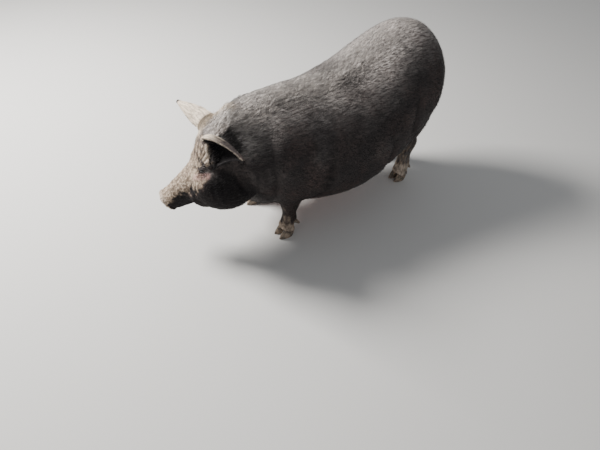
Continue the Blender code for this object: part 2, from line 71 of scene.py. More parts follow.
# ---- the sow's build, in metres and degrees ----------------------------------------------------
# A place on the body is (ahead, left, up): ahead of the rump, to the sow's left, above the floor.
TRUNK_LENGTH = 0.8
HEAD_LENGTH = 0.302
HEAD_PITCH = 41.0
HEAD_YAW = 24.0
SKULL = (0.832, 0.026, 0.38)
CORONET = 0.034
ROUGH_VOXEL = 0.005
ROUGH_SMOOTHING = 14
TRUNK_GRID = (90, 72)
HEAD_GRID = (80, 64)
LEG_GRID = (50, 32)

Trunk = namedtuple("Trunk", "share back belly middle half crown keel")
TRUNK = (
    Trunk(0.0, 0.425, 0.375, 0.4, 0.014, 2.0, 2.0),
    Trunk(0.018, 0.52, 0.31, 0.415, 0.092, 2.0, 2.0),
    Trunk(0.07, 0.582, 0.262, 0.4, 0.15, 2.0, 2.0),
    Trunk(0.17, 0.618, 0.208, 0.37, 0.183, 2.0, 2.0),
    Trunk(0.29, 0.599, 0.14, 0.32, 0.198, 2.0, 2.2),
    Trunk(0.45, 0.526, 0.093, 0.285, 0.214, 2.1, 2.4),
    Trunk(0.62, 0.485, 0.086, 0.273, 0.214, 2.1, 2.4),
    Trunk(0.77, 0.488, 0.096, 0.284, 0.196, 2.0, 2.2),
    Trunk(0.89, 0.488, 0.12, 0.299, 0.176, 2.0, 2.1),
    Trunk(1.0, 0.47, 0.152, 0.314, 0.156, 2.0, 2.1),
)
NECK_TURN = (0.55, 0.8)
NECK_SECTION = (0.102, 0.13, 0.128)

Skull = namedtuple("Skull", "share rise drop half crown keel")
HEAD = (
    Skull(-0.1, 0.092, 0.11, 0.115, 2.1, 2.1),
    Skull(0.02, 0.102, 0.118, 0.122, 2.1, 2.1),
    Skull(0.16, 0.1, 0.12, 0.117, 2.2, 2.2),
    Skull(0.28, 0.086, 0.114, 0.104, 2.3, 2.3),
    Skull(0.4, 0.06, 0.102, 0.086, 2.3, 2.4),
    Skull(0.52, 0.044, 0.084, 0.067, 2.2, 2.4),
    Skull(0.66, 0.039, 0.076, 0.055, 2.1, 2.3),
    Skull(0.8, 0.036, 0.06, 0.046, 2.1, 2.3),
    Skull(0.92, 0.035, 0.045, 0.041, 2.0, 2.2),
    Skull(0.96, 0.038, 0.039, 0.043, 2.0, 2.1),
    Skull(1.0, 0.037, 0.037, 0.041, 2.0, 2.1),
)

Mass = namedtuple("Mass", "centre half lean")
BODY_MASSES = (
    Mass((0.172, 0.092, 0.352), (0.128, 0.088, 0.18), -6.0),  # ham
    Mass((0.235, 0.118, 0.245), (0.072, 0.055, 0.085), -12.0),  # stifle
    Mass((0.7, 0.105, 0.295), (0.105, 0.082, 0.15), 12.0),  # shoulder
)
HEAD_MASSES = (
    Mass((0.29, 0.046, -0.046), (0.112, 0.094, 0.096), 0.0),  # jowl
    Mass((0.52, 0.04, -0.046), (0.07, 0.05, 0.052), 0.0),  # cheek
)

Joint = namedtuple("Joint", "ahead left up deep wide")
FORELEG = (
    Joint(0.715, 0.118, 0.32, 0.085, 0.055),
    Joint(0.672, 0.122, 0.232, 0.06, 0.048),
    Joint(0.676, 0.117, 0.178, 0.043, 0.037),
    Joint(0.682, 0.112, 0.136, 0.034, 0.032),
    Joint(0.68, 0.109, 0.098, 0.025, 0.025),
    Joint(0.678, 0.108, 0.066, 0.029, 0.03),
    Joint(0.69, 0.108, 0.038, 0.027, 0.03),
    Joint(0.7, 0.108, 0.014, 0.029, 0.031),
)
HINDLEG = (
    Joint(0.19, 0.105, 0.385, 0.1, 0.06),
    Joint(0.212, 0.12, 0.28, 0.078, 0.052),
    Joint(0.146, 0.108, 0.214, 0.049, 0.038),
    Joint(0.112, 0.098, 0.172, 0.036, 0.03),
    Joint(0.112, 0.094, 0.126, 0.026, 0.025),
    Joint(0.106, 0.091, 0.074, 0.028, 0.029),
    Joint(0.112, 0.09, 0.04, 0.028, 0.031),
    Joint(0.12, 0.09, 0.014, 0.03, 0.032),
)
LEGS = {"front": FORELEG, "hind": HINDLEG}
SIDES = {"left": 1, "right": -1}

TEATS_AHEAD = (0.26, 0.33, 0.4, 0.47, 0.545, 0.62)
TEAT_ASIDE = 0.06
TEAT_RADIUS = 0.0075
TEAT_LENGTH = 0.018
UDDER_RADIUS = (0.048, 0.042, 0.03)
UDDER_RISE = 0.018

Ear = namedtuple("Ear", "upper lower tip heel bow swell cup roll ridge")
EARS = {
    "left": Ear(
        (0.114, 0.065, 0.112),
        (0.146, 0.128, 0.058),
        (-0.148, 0.2, 0.062),
        (0.1, 0.04, 0.03),
        0.024, 0.25, 0.036, 38.0, 0.017,
    ),
    "right": Ear(
        (-0.01, -0.052, 0.1),
        (0.2, -0.052, 0.086),
        (0.275, -0.17, 0.145),
        (0.1, -0.02, 0.06),
        0.0, 0.0, 0.02, 0.0, 0.0,
    ),
}
EAR_LEAF = (1.5, 0.85)
EAR_TIP_HALF = 0.004
EAR_CUP_FALL = 0.6
EAR_THICK = 0.0056
EAR_ROOT_ROWS = 6
EAR_GRID = (46, 40)
RIDGE_INSET = 0.013
RIDGE_SHARES = (-0.8, -0.4, 0.0, 0.4, 0.8)
EYE_RADIUS = 0.0125
EYE_PLACE = (0.335, 0.073, 0.043)

TAIL = (
    (0.03, 0.0, 0.49, 0.017),
    (-0.01, 0.004, 0.47, 0.015),
    (-0.026, 0.006, 0.42, 0.012),
    (-0.028, 0.0, 0.35, 0.01),
    (-0.024, -0.004, 0.28, 0.008),
    (-0.018, 0.0, 0.225, 0.009),
    (-0.014, 0.004, 0.185, 0.004),
)
TAIL_GRID = (60, 20)

CLAW_SECTIONS = (
    (0.0, 0.01, 0.027, 0.0125),
    (0.01, 0.007, 0.0265, 0.0135),
    (0.023, 0.002, 0.0235, 0.0135),
    (CORONET - 0.0003, -0.003, 0.0205, 0.013),
)
CLAW_ASIDE = 0.0155
CLAW_POINT = 0.28
CLAW_GRID = (30, 44)
CLAW_EDGE = 0.0012  # rounding at the sole
DEWCLAW_RADIUS = 0.0082
DEWCLAW_LENGTH = 0.024
DEWCLAW_BACK = 0.022
DEWCLAW_ROOT = (0.012, 0.017, 0.004)
DEWCLAW_TAPER = 0.45
DEWCLAW_GRID = (14, 20)

SKIN_NODES = (
    "trunk", "neck", "head", "jaw", "snout", "ear_left", "ear_right", "tail",
    *(
        f"leg_{which}_{side}_{half}"
        for which in LEGS
        for side in SIDES
        for half in ("upper", "lower")
    ),
)


# ---- sizes and colours a user may change -------------------------------------------------------
def length(name, words, default):
    return FloatProperty(name=name, description=words, default=default, unit="LENGTH", min=0.0)


def number(name, words, default):
    return FloatProperty(name=name, description=words, default=default)


def colour(name, words, default):
    return FloatVectorProperty(
        name=name, description=words, default=default, size=3, subtype="COLOR", min=0.0, max=1.0
    )


class SowSkinSettings(bpy.types.PropertyGroup):
    """The skin's fineness and colours."""

    cell: length("Cell size", "Size of the cells that the skin is rebuilt from", 0.0024)
    triangles: IntProperty(
        name="Triangles", description="Triangles before the face is refined", default=146000
    )
    body_depth: length("Coat depth on the body", "How far the skin lies inside the coat", 0.0038)
    face_depth: length("Coat depth on the face", "How far the skin lies inside the coat", 0.0018)
    slate: colour("Slate", "The skin's own dark colour", (0.054, 0.046, 0.045))
    # the blackest skin, also the colour of painted shade in hollows, creases and shaded places
    darkest_skin_and_shade: colour("Soot", "The darkest skin, in hollows", (0.007, 0.006, 0.007))
    # the dust colour also paints the sunlit top of the back, neck and head
    dust_and_sunlight: colour("Dust", "Dry dust on the back", (0.54, 0.49, 0.46))
    mud: colour("Mud", "Dried mud on the face and feet", (0.49, 0.375, 0.28))
    pale_mud: colour("Pale mud", "The palest dried mud", (0.76, 0.65, 0.54))
    pink: colour("Pink", "Bare pink skin", (0.64, 0.395, 0.355))
    # the cream colour also paints sunlight on the ears
    cream: colour("Cream", "The pale skin of the ears", (0.83, 0.7, 0.55))


class SowCoatSettings(bpy.types.PropertyGroup):
    """The bristles."""

    tufts: number("Tufts per square metre", "How many tufts stand on the body", 30000.0)
    thickness: number("Thickness", "A bristle's radius as a share of its length", 0.0145)
    seed: IntProperty(name="Seed", description="Changes where the tufts stand", default=7)
    dark: colour("Dark bristle", "Colour at a bristle's root", (0.046, 0.04, 0.039))
    # the palest bristles, also the colour of the painted sheen
    light: colour("Light bristle", "Colour of the palest bristles", (0.74, 0.69, 0.65))


class SowEyeSettings(bpy.types.PropertyGroup):
    """The eyes."""

    radius: length("Radius", "Radius of the eyeball", 0.0123)
    iris: colour("Iris", "Colour of the iris", (0.03, 0.016, 0.009))
    white: colour("White", "Colour of the white of the eye", (0.12, 0.085, 0.072))


class SowFootSettings(bpy.types.PropertyGroup):
    """The hooves."""

    horn: colour("Horn", "Colour of the hooves", (0.15, 0.12, 0.09))
    ring: length("Growth rings", "Height between growth rings on a hoof", 0.0042)


class SowStageSettings(bpy.types.PropertyGroup):
    """The floor and the lights."""

    floor: colour("Floor", "Colour of the floor", (0.7, 0.69, 0.67))
    key: FloatProperty(
        name="Key light", description="Power of the key", default=195.0, unit="POWER"
    )
    fill: FloatProperty(name="Fill", description="Power of the fill", default=5.0, unit="POWER")
    air: number("Air", "Brightness of the surroundings", 0.33)


# ---- places and shapes -------------------------------------------------------------------------
def place(ahead, left, up):
    """A body place as a point: the sow faces -X and its left side faces -Y."""
    return Vector((-ahead, -left, up))


def axes_at(pitch, yaw):
    """(ahead, left, up) of a section with the nose pitched down and turned right, in radians."""
    ahead = Vector(
        (-math.cos(pitch) * math.cos(yaw), math.cos(pitch) * math.sin(yaw), -math.sin(pitch))
    )
    left = Vector((-math.sin(yaw), -math.cos(yaw), 0.0))
    return ahead, left, ahead.cross(left)


HEAD_AHEAD, HEAD_LEFT, HEAD_UP = axes_at(math.radians(HEAD_PITCH), math.radians(HEAD_YAW))


def on_head(share, left, up):
    """A point in the head's frame: share of its length ahead, then metres left and up."""
    start = place(*SKULL)
    return start + HEAD_AHEAD * (share * HEAD_LENGTH) + HEAD_LEFT * left + HEAD_UP * up


def head_vector(ahead, left, up):
    return (HEAD_AHEAD * ahead + HEAD_LEFT * left + HEAD_UP * up).normalized()


def eye_centre(sign):
    share, left, up = EYE_PLACE
    return on_head(share, sign * left, up)


def settling():
    """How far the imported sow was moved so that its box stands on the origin."""
    low, high = (Vector(corner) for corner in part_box("eye_left"))
    return (low + high) / 2 - eye_centre(1)


SETTLE = settling()


def smooth_rows(keys, rows, at):
    """The rows at the given keys, on a smooth cubic through every row."""
    keys, rows, at = (np.asarray(values, float) for values in (keys, rows, at))
    step = np.diff(keys)
    slope = np.diff(rows, axis=0) / step[:, None]
    before, after = step[:-1, None], step[1:, None]
    inner = (slope[:-1] * after + slope[1:] * before) / (before + after)
    tangent = np.vstack([slope[:1], inner, slope[-1:]])
    i = np.clip(np.searchsorted(keys, at, side="right") - 1, 0, len(keys) - 2)
    wide = step[i][:, None]
    t = ((at - keys[i]) / step[i])[:, None]
    return (
        (2 * t**3 - 3 * t**2 + 1) * rows[i]
        + (t**3 - 2 * t**2 + t) * wide * tangent[i]
        + (3 * t**2 - 2 * t**3) * rows[i + 1]
        + (t**3 - t**2) * wide * tangent[i + 1]
    )


def along(points):
    """Distance along a run of points, from 0."""
    steps = np.linalg.norm(np.diff(np.asarray(points, float), axis=0), axis=1)
    return np.concatenate([[0.0], np.cumsum(steps)])


def smooth_line(points, count=30):
    """A run of points made into a smooth line of evenly spaced points."""
    points = np.asarray(points, float)
    if len(points) < 3:
        return points[0] + np.linspace(0, 1, count)[:, None] * (points[-1] - points[0])
    keys = along(points)
    return smooth_rows(keys, points, np.linspace(0, keys[-1], count))


def step(values, low, high):
    """A soft step from 0 at low to 1 at high; low may be the greater."""
    t = np.clip((np.asarray(values, float) - low) / (high - low), 0, 1)
    return t * t * (3 - 2 * t)


def linked(mesh, name):
    made = bpy.data.objects.new(name, mesh)
    bpy.context.scene.collection.objects.link(made)
    return made


def mesh_object(name, points, faces):
    """A mesh object with its faces pointing out."""
    mesh = bpy.data.meshes.new(name)
    mesh.from_pydata([tuple(point) for point in points], [], faces)
    work = bmesh.new()
    work.from_mesh(mesh)
    bmesh.ops.recalc_face_normals(work, faces=work.faces)
    work.to_mesh(mesh)
    work.free()
    return linked(mesh, name)


def ring_faces(rings, segments):
    """Faces of a stack of closed rings, with a cap at each end."""
    faces = []
    for i in range(rings - 1):
        for j in range(segments):
            k = (j + 1) % segments
            row, upper = i * segments, (i + 1) * segments
            faces.append((row + j, row + k, upper + k, upper + j))
    faces.append(tuple(range(segments)))
    faces.append(tuple(range((rings - 1) * segments, rings * segments)))
    return faces


def superellipse(segments, half, rise, drop, crown, keel):
    """Offsets (across, up) round a section whose upper and lower halves differ."""
    turn = np.linspace(0, 2 * math.pi, segments, endpoint=False)
    cos, sin = np.cos(turn), np.sin(turn)
    power = 2 / np.where(sin >= 0, crown, keel)
    across = half * np.sign(cos) * np.abs(cos) ** power
    up = np.where(sin >= 0, rise, drop) * np.sign(sin) * np.abs(sin) ** power
    return across, up


def loft(name, rows, rings, segments):
    """A body over rows of (x, y, z, pitch, yaw, half, rise, drop, crown, keel)."""
    keys = along([row[:3] for row in rows])
    points = []
    for row in smooth_rows(keys, rows, np.linspace(0, keys[-1], rings)):
        _, left, up = axes_at(row[3], row[4])
        across, above = superellipse(segments, *row[5:])
        points.extend(np.array(row[:3]) + np.outer(across, left) + np.outer(above, up))
    return mesh_object(name, points, ring_faces(rings, segments))


def ball(name, centre, half, lean=0.0, fineness=4):
    """An ellipsoid; lean tips its upper end towards the head, in degrees."""
    work = bmesh.new()
    bmesh.ops.create_icosphere(work, subdivisions=fineness, radius=1.0)
    turn = Matrix.Rotation(-math.radians(lean), 4, "Y")
    work.transform(Matrix.Translation(centre) @ turn @ Matrix.Diagonal((*half, 1.0)))
    mesh = bpy.data.meshes.new(name)
    work.to_mesh(mesh)
    work.free()
    return linked(mesh, name)


def evaluated_mesh(made):
    """The mesh of an object with its modifiers applied."""
    bpy.context.view_layer.update()
    evaluated = made.evaluated_get(bpy.context.evaluated_depsgraph_get())
    return bpy.data.meshes.new_from_object(evaluated)


def modified(made, kind, **settings):
    """The object with one modifier applied."""
    modifier = made.modifiers.new(kind.title(), kind)
    for key, value in settings.items():
        setattr(modifier, key, value)
    mesh = evaluated_mesh(made)
    made.modifiers.clear()
    made.data = mesh
    return made


def joined(name, pieces):
    """Several meshes as one object."""
    work = bmesh.new()
    for piece in pieces:
        work.from_mesh(piece.data)
        bpy.data.objects.remove(piece, do_unlink=True)
    mesh = bpy.data.meshes.new(name)
    work.to_mesh(mesh)
    work.free()
    return linked(mesh, name)


# ---- the flesh ---------------------------------------------------------------------------------
def trunk_and_neck():
    rows = []
    for part in TRUNK:
        rise, drop = part.back - part.middle, part.middle - part.belly
        middle = place(part.share * TRUNK_LENGTH, 0.0, part.middle)
        rows.append((*middle, 0.0, 0.0, part.half, rise, drop, part.crown, part.keel))
    pitch = math.radians(HEAD_PITCH * NECK_TURN[0])
    yaw = math.radians(HEAD_YAW * NECK_TURN[1])
    rise, drop, half = NECK_SECTION
    rows.append((*place(*SKULL), pitch, yaw, half, rise, drop, 2.1, 2.1))
    return loft("trunk and neck", rows, *TRUNK_GRID)


def head_mass():
    pitch, yaw = math.radians(HEAD_PITCH), math.radians(HEAD_YAW)
    rows = []
    for part in HEAD:
        shape = (part.half, part.rise, part.drop, part.crown, part.keel)
        rows.append((*on_head(part.share, 0.0, 0.0), pitch, yaw, *shape))
    return loft("head mass", rows, *HEAD_GRID)


def masses():
    made = []
    for sign in SIDES.values():
        for mass in BODY_MASSES:
            ahead, left, up = mass.centre
            made.append(ball("mass", place(ahead, sign * left, up), mass.half, mass.lean))
        for mass in HEAD_MASSES:
            share, left, up = mass.centre
            made.append(ball("mass", on_head(share, sign * left, up), mass.half, mass.lean))
    return made


def leg_mass(joints, sign):
    rows = [(*place(j.ahead, sign * j.left, j.up), j.deep, j.wide) for j in joints]
    keys = along([row[:3] for row in rows])
    rings, segments = LEG_GRID
    turn = np.linspace(0, 2 * math.pi, segments, endpoint=False)
    points = []
    for x, y, z, deep, wide in smooth_rows(keys, rows, np.linspace(0, keys[-1], rings)):
        for angle in turn:
            points.append((x + deep * math.cos(angle), y + wide * math.sin(angle), z))
    return mesh_object("leg mass", points, ring_faces(rings, segments))


def belly_at(ahead, left):
    """Height of the belly's surface at a place."""
    keys = [part.share * TRUNK_LENGTH for part in TRUNK]
    rows = [(part.middle, part.belly, part.half, part.keel) for part in TRUNK]
    middle, belly, half, keel = smooth_rows(keys, rows, [ahead])[0]
    return middle - (middle - belly) * (1 - (left / half) ** keel) ** (1 / keel)


def udder():
    made = []
    for ahead in TEATS_AHEAD:
        height = belly_at(ahead, TEAT_ASIDE)
        for sign in SIDES.values():
            left = sign * TEAT_ASIDE
            made.append(ball("udder", place(ahead, left, height + UDDER_RISE), UDDER_RADIUS))
            tip = place(ahead, left, height - TEAT_LENGTH / 2)
            made.append(ball("teat", tip, (TEAT_RADIUS, TEAT_RADIUS, TEAT_LENGTH * 0.6)))
    return made


def ear_frame(ear):
    """Middle of the root, half the span between the rims, the tip, and the way the hollow faces."""
    upper, lower, tip = (on_head(*spot) for spot in (ear.upper, ear.lower, ear.tip))
    hollow = (lower - upper).cross(tip - upper).normalized()
    return (upper + lower) / 2, (upper - lower) / 2, tip, hollow


def ear_points(ear):
    """Rows of points over an ear's leaf, from the heel in the head to the tip."""
    root, span, tip, hollow = ear_frame(ear)
    heel = on_head(*ear.heel)
    rows, columns = EAR_GRID
    points = []
    for i in range(rows):
        s = max(i - EAR_ROOT_ROWS, 0) / (rows - 1 - EAR_ROOT_ROWS)
        bulge = 4 * s * (1 - s)
        middle = root.lerp(tip, s) if i >= EAR_ROOT_ROWS else heel.lerp(root, i / EAR_ROOT_ROWS)
        middle = middle + span.normalized() * (ear.bow * bulge)
        leaf = (1 - s ** EAR_LEAF[0]) ** EAR_LEAF[1] * (1 + ear.swell * bulge)
        half = span * max(leaf, EAR_TIP_HALF / span.length)
        cup = ear.cup * (1 - s) ** EAR_CUP_FALL + EAR_TIP_HALF
        turn = math.pi + math.radians(ear.roll) * math.sin(math.pi * s**0.8)
        for j in range(columns):
            angle = turn * j / (columns - 1) - math.pi / 2
            points.append(middle + half * math.sin(angle) - hollow * (cup * math.cos(angle)))
    return np.array(points)


def ear_leaf(name, ear):
    """An ear as a thin closed leaf."""
    rows, columns = EAR_GRID
    faces = []
    for i in range(rows - 1):
        for j in range(columns - 1):
            a = i * columns + j
            faces.append((a, a + 1, a + columns + 1, a + columns))
    mesh = bpy.data.meshes.new(name)
    mesh.from_pydata([tuple(point) for point in ear_points(ear)], [], faces)
    made = linked(mesh, name)
    return modified(made, "SOLIDIFY", thickness=EAR_THICK, offset=0.0, use_even_offset=True)


def ear_ridge(ear):
    """Balls that close the front of an ear between its rims."""
    root, span, tip, hollow = ear_frame(ear)
    middle = root - (hollow + (tip - root).normalized()) * RIDGE_INSET
    half = (ear.ridge, ear.ridge, ear.ridge)
    return [ball("ridge", middle + span * share, half, fineness=3) for share in RIDGE_SHARES]


def tail_mass():
    rows = [(*place(*spot[:3]), spot[3]) for spot in TAIL]
    keys = along([row[:3] for row in rows])
    rings, segments = TAIL_GRID
    fine = smooth_rows(keys, rows, np.linspace(0, keys[-1], rings))
    run = np.gradient(fine[:, :3], axis=0)
    points = []
    for row, ahead in zip(fine, run):
        ahead = Vector(ahead).normalized()
        side = Vector((0, 1, 0))
        side = (side - ahead * side.dot(ahead)).normalized()
        third = ahead.cross(side)
        for k in range(segments):
            angle = 2 * math.pi * k / segments
            offset = side * math.cos(angle) + third * math.sin(angle)
            points.append(Vector(row[:3]) + offset * row[3])
    return mesh_object("tail mass", points, ring_faces(rings, segments))


# ---- working on a mesh's points ----------------------------------------------------------------
def points_of(mesh):
    flat = np.empty(len(mesh.vertices) * 3)
    mesh.vertices.foreach_get("co", flat)
    return flat.reshape(-1, 3)


def normals_of(mesh):
    flat = np.empty(len(mesh.vertices) * 3)
    mesh.vertex_normals.foreach_get("vector", flat)
    return flat.reshape(-1, 3)


def move_points(mesh, points):
    mesh.vertices.foreach_set("co", np.asarray(points, np.float32).ravel())
    mesh.update()


def keep_number(mesh, name, values):
    made = mesh.attributes.new(name, "FLOAT", "POINT")
    made.data.foreach_set("value", np.asarray(values, np.float32))


def keep_vector(mesh, name, values):
    made = mesh.attributes.new(name, "FLOAT_VECTOR", "POINT")
    made.data.foreach_set("vector", np.asarray(values, np.float32).ravel())


def read_vector(mesh, name):
    values = np.empty(len(mesh.vertices) * 3, np.float32)
    mesh.attributes[name].data.foreach_get("vector", values)
    return values.reshape(-1, 3)


def head_places(points):
    """Points as (share, left, up) in the head's frame."""
    offset = points - np.array(place(*SKULL))
    return (
        offset @ np.array(HEAD_AHEAD) / HEAD_LENGTH,
        offset @ np.array(HEAD_LEFT),
        offset @ np.array(HEAD_UP),
    )


def to_line(points, line):
    """Distance from each point to a line, and how far along the line it is, from 0 to 1."""
    best = np.full(len(points), np.inf)
    share = np.zeros(len(points))
    keys = along(line)
    low, high = line.min(axis=0) - 0.09, line.max(axis=0) + 0.09
    near = np.where(np.all((points > low) & (points < high), axis=1))[0]
    spots = points[near]
    for a, b, start, end in zip(line[:-1], line[1:], keys[:-1], keys[1:]):
        run = b - a
        t = np.clip((spots - a) @ run / max(run @ run, 1e-12), 0, 1)
        far = np.linalg.norm(spots - a - t[:, None] * run, axis=1)
        closer = far < best[near]
        chosen = near[closer]
        best[chosen] = far[closer]
        share[chosen] = ((start + t * (end - start)) / keys[-1])[closer]
    return best, share


def noise_at(points, scale, octaves=1, offset=0.0):
    """Soft noise from about -1 to 1 whose lumps are 1/scale metres across."""
    spots = points * scale + offset
    if octaves == 1:
        return np.array([noise.noise(spot) for spot in spots])
    return np.array([noise.fractal(spot, 1.0, 2.0, octaves) for spot in spots])


def unit(vectors):
    return vectors / np.maximum(np.linalg.norm(vectors, axis=1, keepdims=True), 1e-9)


# ---- folds: lines that are pressed into the skin ------------------------------------------------
Fold = namedtuple("Fold", "width depth lip line")
HEAD_FOLDS = (  # lines as (share, left, up), on both sides
    # brow folds between the ear and the eye
    Fold(0.003, 0.003, 0.6, ((0.12, 0.098, 0.08), (0.2, 0.104, 0.068), (0.27, 0.1, 0.064))),
    Fold(0.0032, 0.003, 0.6, ((0.15, 0.086, 0.094), (0.23, 0.088, 0.08), (0.31, 0.08, 0.071))),
    Fold(0.003, 0.0026, 0.6, ((0.17, 0.07, 0.1), (0.25, 0.074, 0.088), (0.34, 0.066, 0.075))),
    Fold(0.0026, 0.002, 0.5, ((0.2, 0.054, 0.1), (0.28, 0.058, 0.088), (0.37, 0.052, 0.074))),
    # folds across the forehead
    Fold(0.0035, 0.0026, 0.5, ((0.3, 0.04, 0.086), (0.31, 0.0, 0.086), (0.3, -0.04, 0.086))),
    Fold(0.003, 0.0024, 0.5, ((0.38, 0.044, 0.066), (0.39, 0.0, 0.066), (0.38, -0.044, 0.066))),
    Fold(0.0028, 0.0022, 0.5, ((0.45, 0.046, 0.052), (0.46, 0.0, 0.054), (0.45, -0.046, 0.052))),
    # from under the eye to the mouth's corner, and round the cheek
    Fold(0.004, 0.0022, 0.6, ((0.43, 0.08, 0.03), (0.47, 0.08, 0.004), (0.47, 0.08, -0.04))),
    Fold(0.005, 0.0014, 0.5, ((0.3, 0.112, 0.018), (0.37, 0.108, -0.01), (0.4, 0.104, -0.05))),
    Fold(0.0034, 0.001, 0.5, ((0.22, 0.118, 0.026), (0.27, 0.122, 0.004), (0.31, 0.122, -0.03))),
    Fold(0.007, 0.0026, 0.5, ((0.1, 0.126, 0.01), (0.14, 0.132, -0.04), (0.18, 0.12, -0.1))),
    # the mouth
    Fold(
        0.002, 0.0048, 0.5,
        ((0.47, 0.085, -0.058), (0.56, 0.075, -0.052), (0.7, 0.055, -0.047), (0.88, 0.044, -0.038)),
    ),
    Fold(0.0022, 0.004, 0.4, ((0.86, 0.045, -0.039), (0.92, 0.04, -0.037), (0.975, 0.034, -0.036))),
)
MUZZLE_FOLDS = (0.57, 0.62, 0.675, 0.73, 0.79, 0.85, 0.9)
BODY_FOLDS = (  # lines as (ahead, left, up), on both sides
    # behind the thigh
    Fold(
        0.011, 0.0085, 0.45,
        ((0.192, 0.18, 0.446), (0.212, 0.19, 0.391), (0.221, 0.196, 0.338), (0.178, 0.16, 0.25)),
    ),
    # the flank, in front of the thigh
    Fold(
        0.013, 0.0075, 0.5,
        ((0.335, 0.19, 0.38), (0.33, 0.195, 0.3), (0.318, 0.18, 0.21), (0.285, 0.15, 0.15)),
    ),
    # behind the elbow
    Fold(
        0.011, 0.007, 0.5,
        ((0.606, 0.205, 0.37), (0.596, 0.205, 0.29), (0.605, 0.18, 0.19), (0.635, 0.14, 0.14)),
    ),
    Fold(0.009, 0.004, 0.5, ((0.56, 0.2, 0.2), (0.6, 0.18, 0.155), (0.64, 0.14, 0.12))),
    # in front of the shoulder, and round the neck
    Fold(
        0.01, 0.003, 0.5,
        ((0.785, 0.14, 0.42), (0.79, 0.175, 0.35), (0.775, 0.17, 0.26), (0.765, 0.11, 0.18)),
    ),
    Fold(0.007, 0.0024, 0.5, ((0.83, 0.14, 0.4), (0.835, 0.16, 0.33), (0.825, 0.14, 0.25))),
    Fold(0.006, 0.0018, 0.5, ((0.805, 0.12, 0.435), (0.812, 0.16, 0.37), (0.808, 0.16, 0.29))),
    # between the hams, below the tail
    Fold(0.02, 0.017, 0.4, ((0.004, 0.0, 0.455), (0.002, 0.0, 0.35), (0.05, 0.0, 0.25))),
)
CORONET_HALF = (0.0232, 0.0316)
CORONET_BACK = 0.0032
CORONET_TOP = 0.054
EAR_FINER = 3
EAR_NEAR = (0.0072, 0.0048)
EAR_ROOT_EASE = {"left": (), "right": ((-0.012, 0.034), (0.01, 0.024))}
EAR_VEINS = {"right": (0.14, 0.27, 0.38, 0.5, 0.62, 0.74, 0.87)}
LEG_RINGS = {  # heights of the small folds round a leg
    "front": (0.046, 0.058, 0.082, 0.112, 0.124),
    "hind": (0.048, 0.062, 0.09, 0.15, 0.164, 0.178),
}
LID_FOLDS = (  # round an eye: half length, height of the arc's middle, width, depth, lip
    (0.015, 0.0092, 0.0016, 0.0034, 0.9),
    (0.019, 0.0155, 0.0021, 0.0036, 1.0),
    (0.0225, 0.023, 0.0026, 0.0034, 1.0),
    (0.015, -0.0084, 0.0015, 0.0024, 0.8),
    (0.0175, -0.014, 0.0019, 0.002, 0.8),
)
BAG_CREASES = (  # below an eye: start ahead of its middle, end ahead, end below, depth
    (-0.014, -0.013, 0.023, 0.0022),
    (-0.007, -0.003, 0.025, 0.0026),
    (0.001, 0.007, 0.025, 0.0024),
    (0.008, 0.017, 0.023, 0.0026),
    (0.015, 0.027, 0.019, 0.0022),
)
BAG_TOP = 0.0098
EYE_OUT = (0.3, 0.82, 0.47)
LID_OVER = 0.002
SLIT_HALF = (0.0118, 0.0036)
EYE_TILT = -18.0  # the front corner is higher


def eye_axes(sign):
    """Along the slit to the front, across it upward, and outward."""
    out = head_vector(EYE_OUT[0], sign * EYE_OUT[1], EYE_OUT[2])
    front = HEAD_AHEAD - out * out.dot(HEAD_AHEAD)
    front = front.normalized()
    top = front.cross(out) if sign < 0 else out.cross(front)
    turn = Matrix.Rotation(math.radians(EYE_TILT) * sign, 3, out)
    front, top = turn @ front, turn @ top
    if top.dot(HEAD_UP) < 0:
        top = -top
    return np.array(front), np.array(top), np.array(out)


class Clay:
    """The skin while it is shaped: its points, their normals and how deep in a fold each lies."""

    def __init__(self, mesh):
        self.mesh = mesh
        self.refresh()
        self.fold = np.zeros(len(self.points))
        self.tree = kdtree.KDTree(len(self.points))
        for i, point in enumerate(self.points):
            self.tree.insert(point, i)
        self.tree.balance()

    def refresh(self):
        self.points = points_of(self.mesh)
        self.normals = normals_of(self.mesh)

    def apply(self):
        move_points(self.mesh, self.points)
        self.normals = normals_of(self.mesh)

    def snapped(self, line):
        """A line laid on the skin."""
        return np.array([self.tree.find(Vector(spot))[0] for spot in line])

    def press(self, line, width, depth, lip, wander=0.0):
        """Presses a fold along a line, with a raised lip on both sides that fades at the ends."""
        line = self.snapped(smooth_line(line))
        line[1:-1] = (line[:-2] + line[1:-1] * 2 + line[2:]) / 4
        far, share = to_line(self.points, line)
        near = far < width * 5
        ends = np.sin(math.pi * np.clip(share[near], 0.0, 1.0)) ** 0.6
        spots = far[near] / width
        if wander:
            spots = spots * (1 + wander * noise_at(self.points[near], 60.0))
        groove = np.exp(-(spots**2)) * ends
        raised = np.exp(-(((spots - 2.0) / 1.0) ** 2)) * ends
        lift = lip * 0.5 * raised - groove
        self.points[near] += self.normals[near] * (depth * lift)[:, None]
        self.fold[near] = np.maximum(self.fold[near], groove * min(depth / 0.004, 1.0))

    def swell(self, centre, radius, amount):
        """Raises a soft lump."""
        far = np.linalg.norm(self.points - np.array(centre), axis=1) / radius
        near = far < 2.5
        lift = amount * np.exp(-(far[near] ** 2))
        self.points[near] += self.normals[near] * lift[:, None]


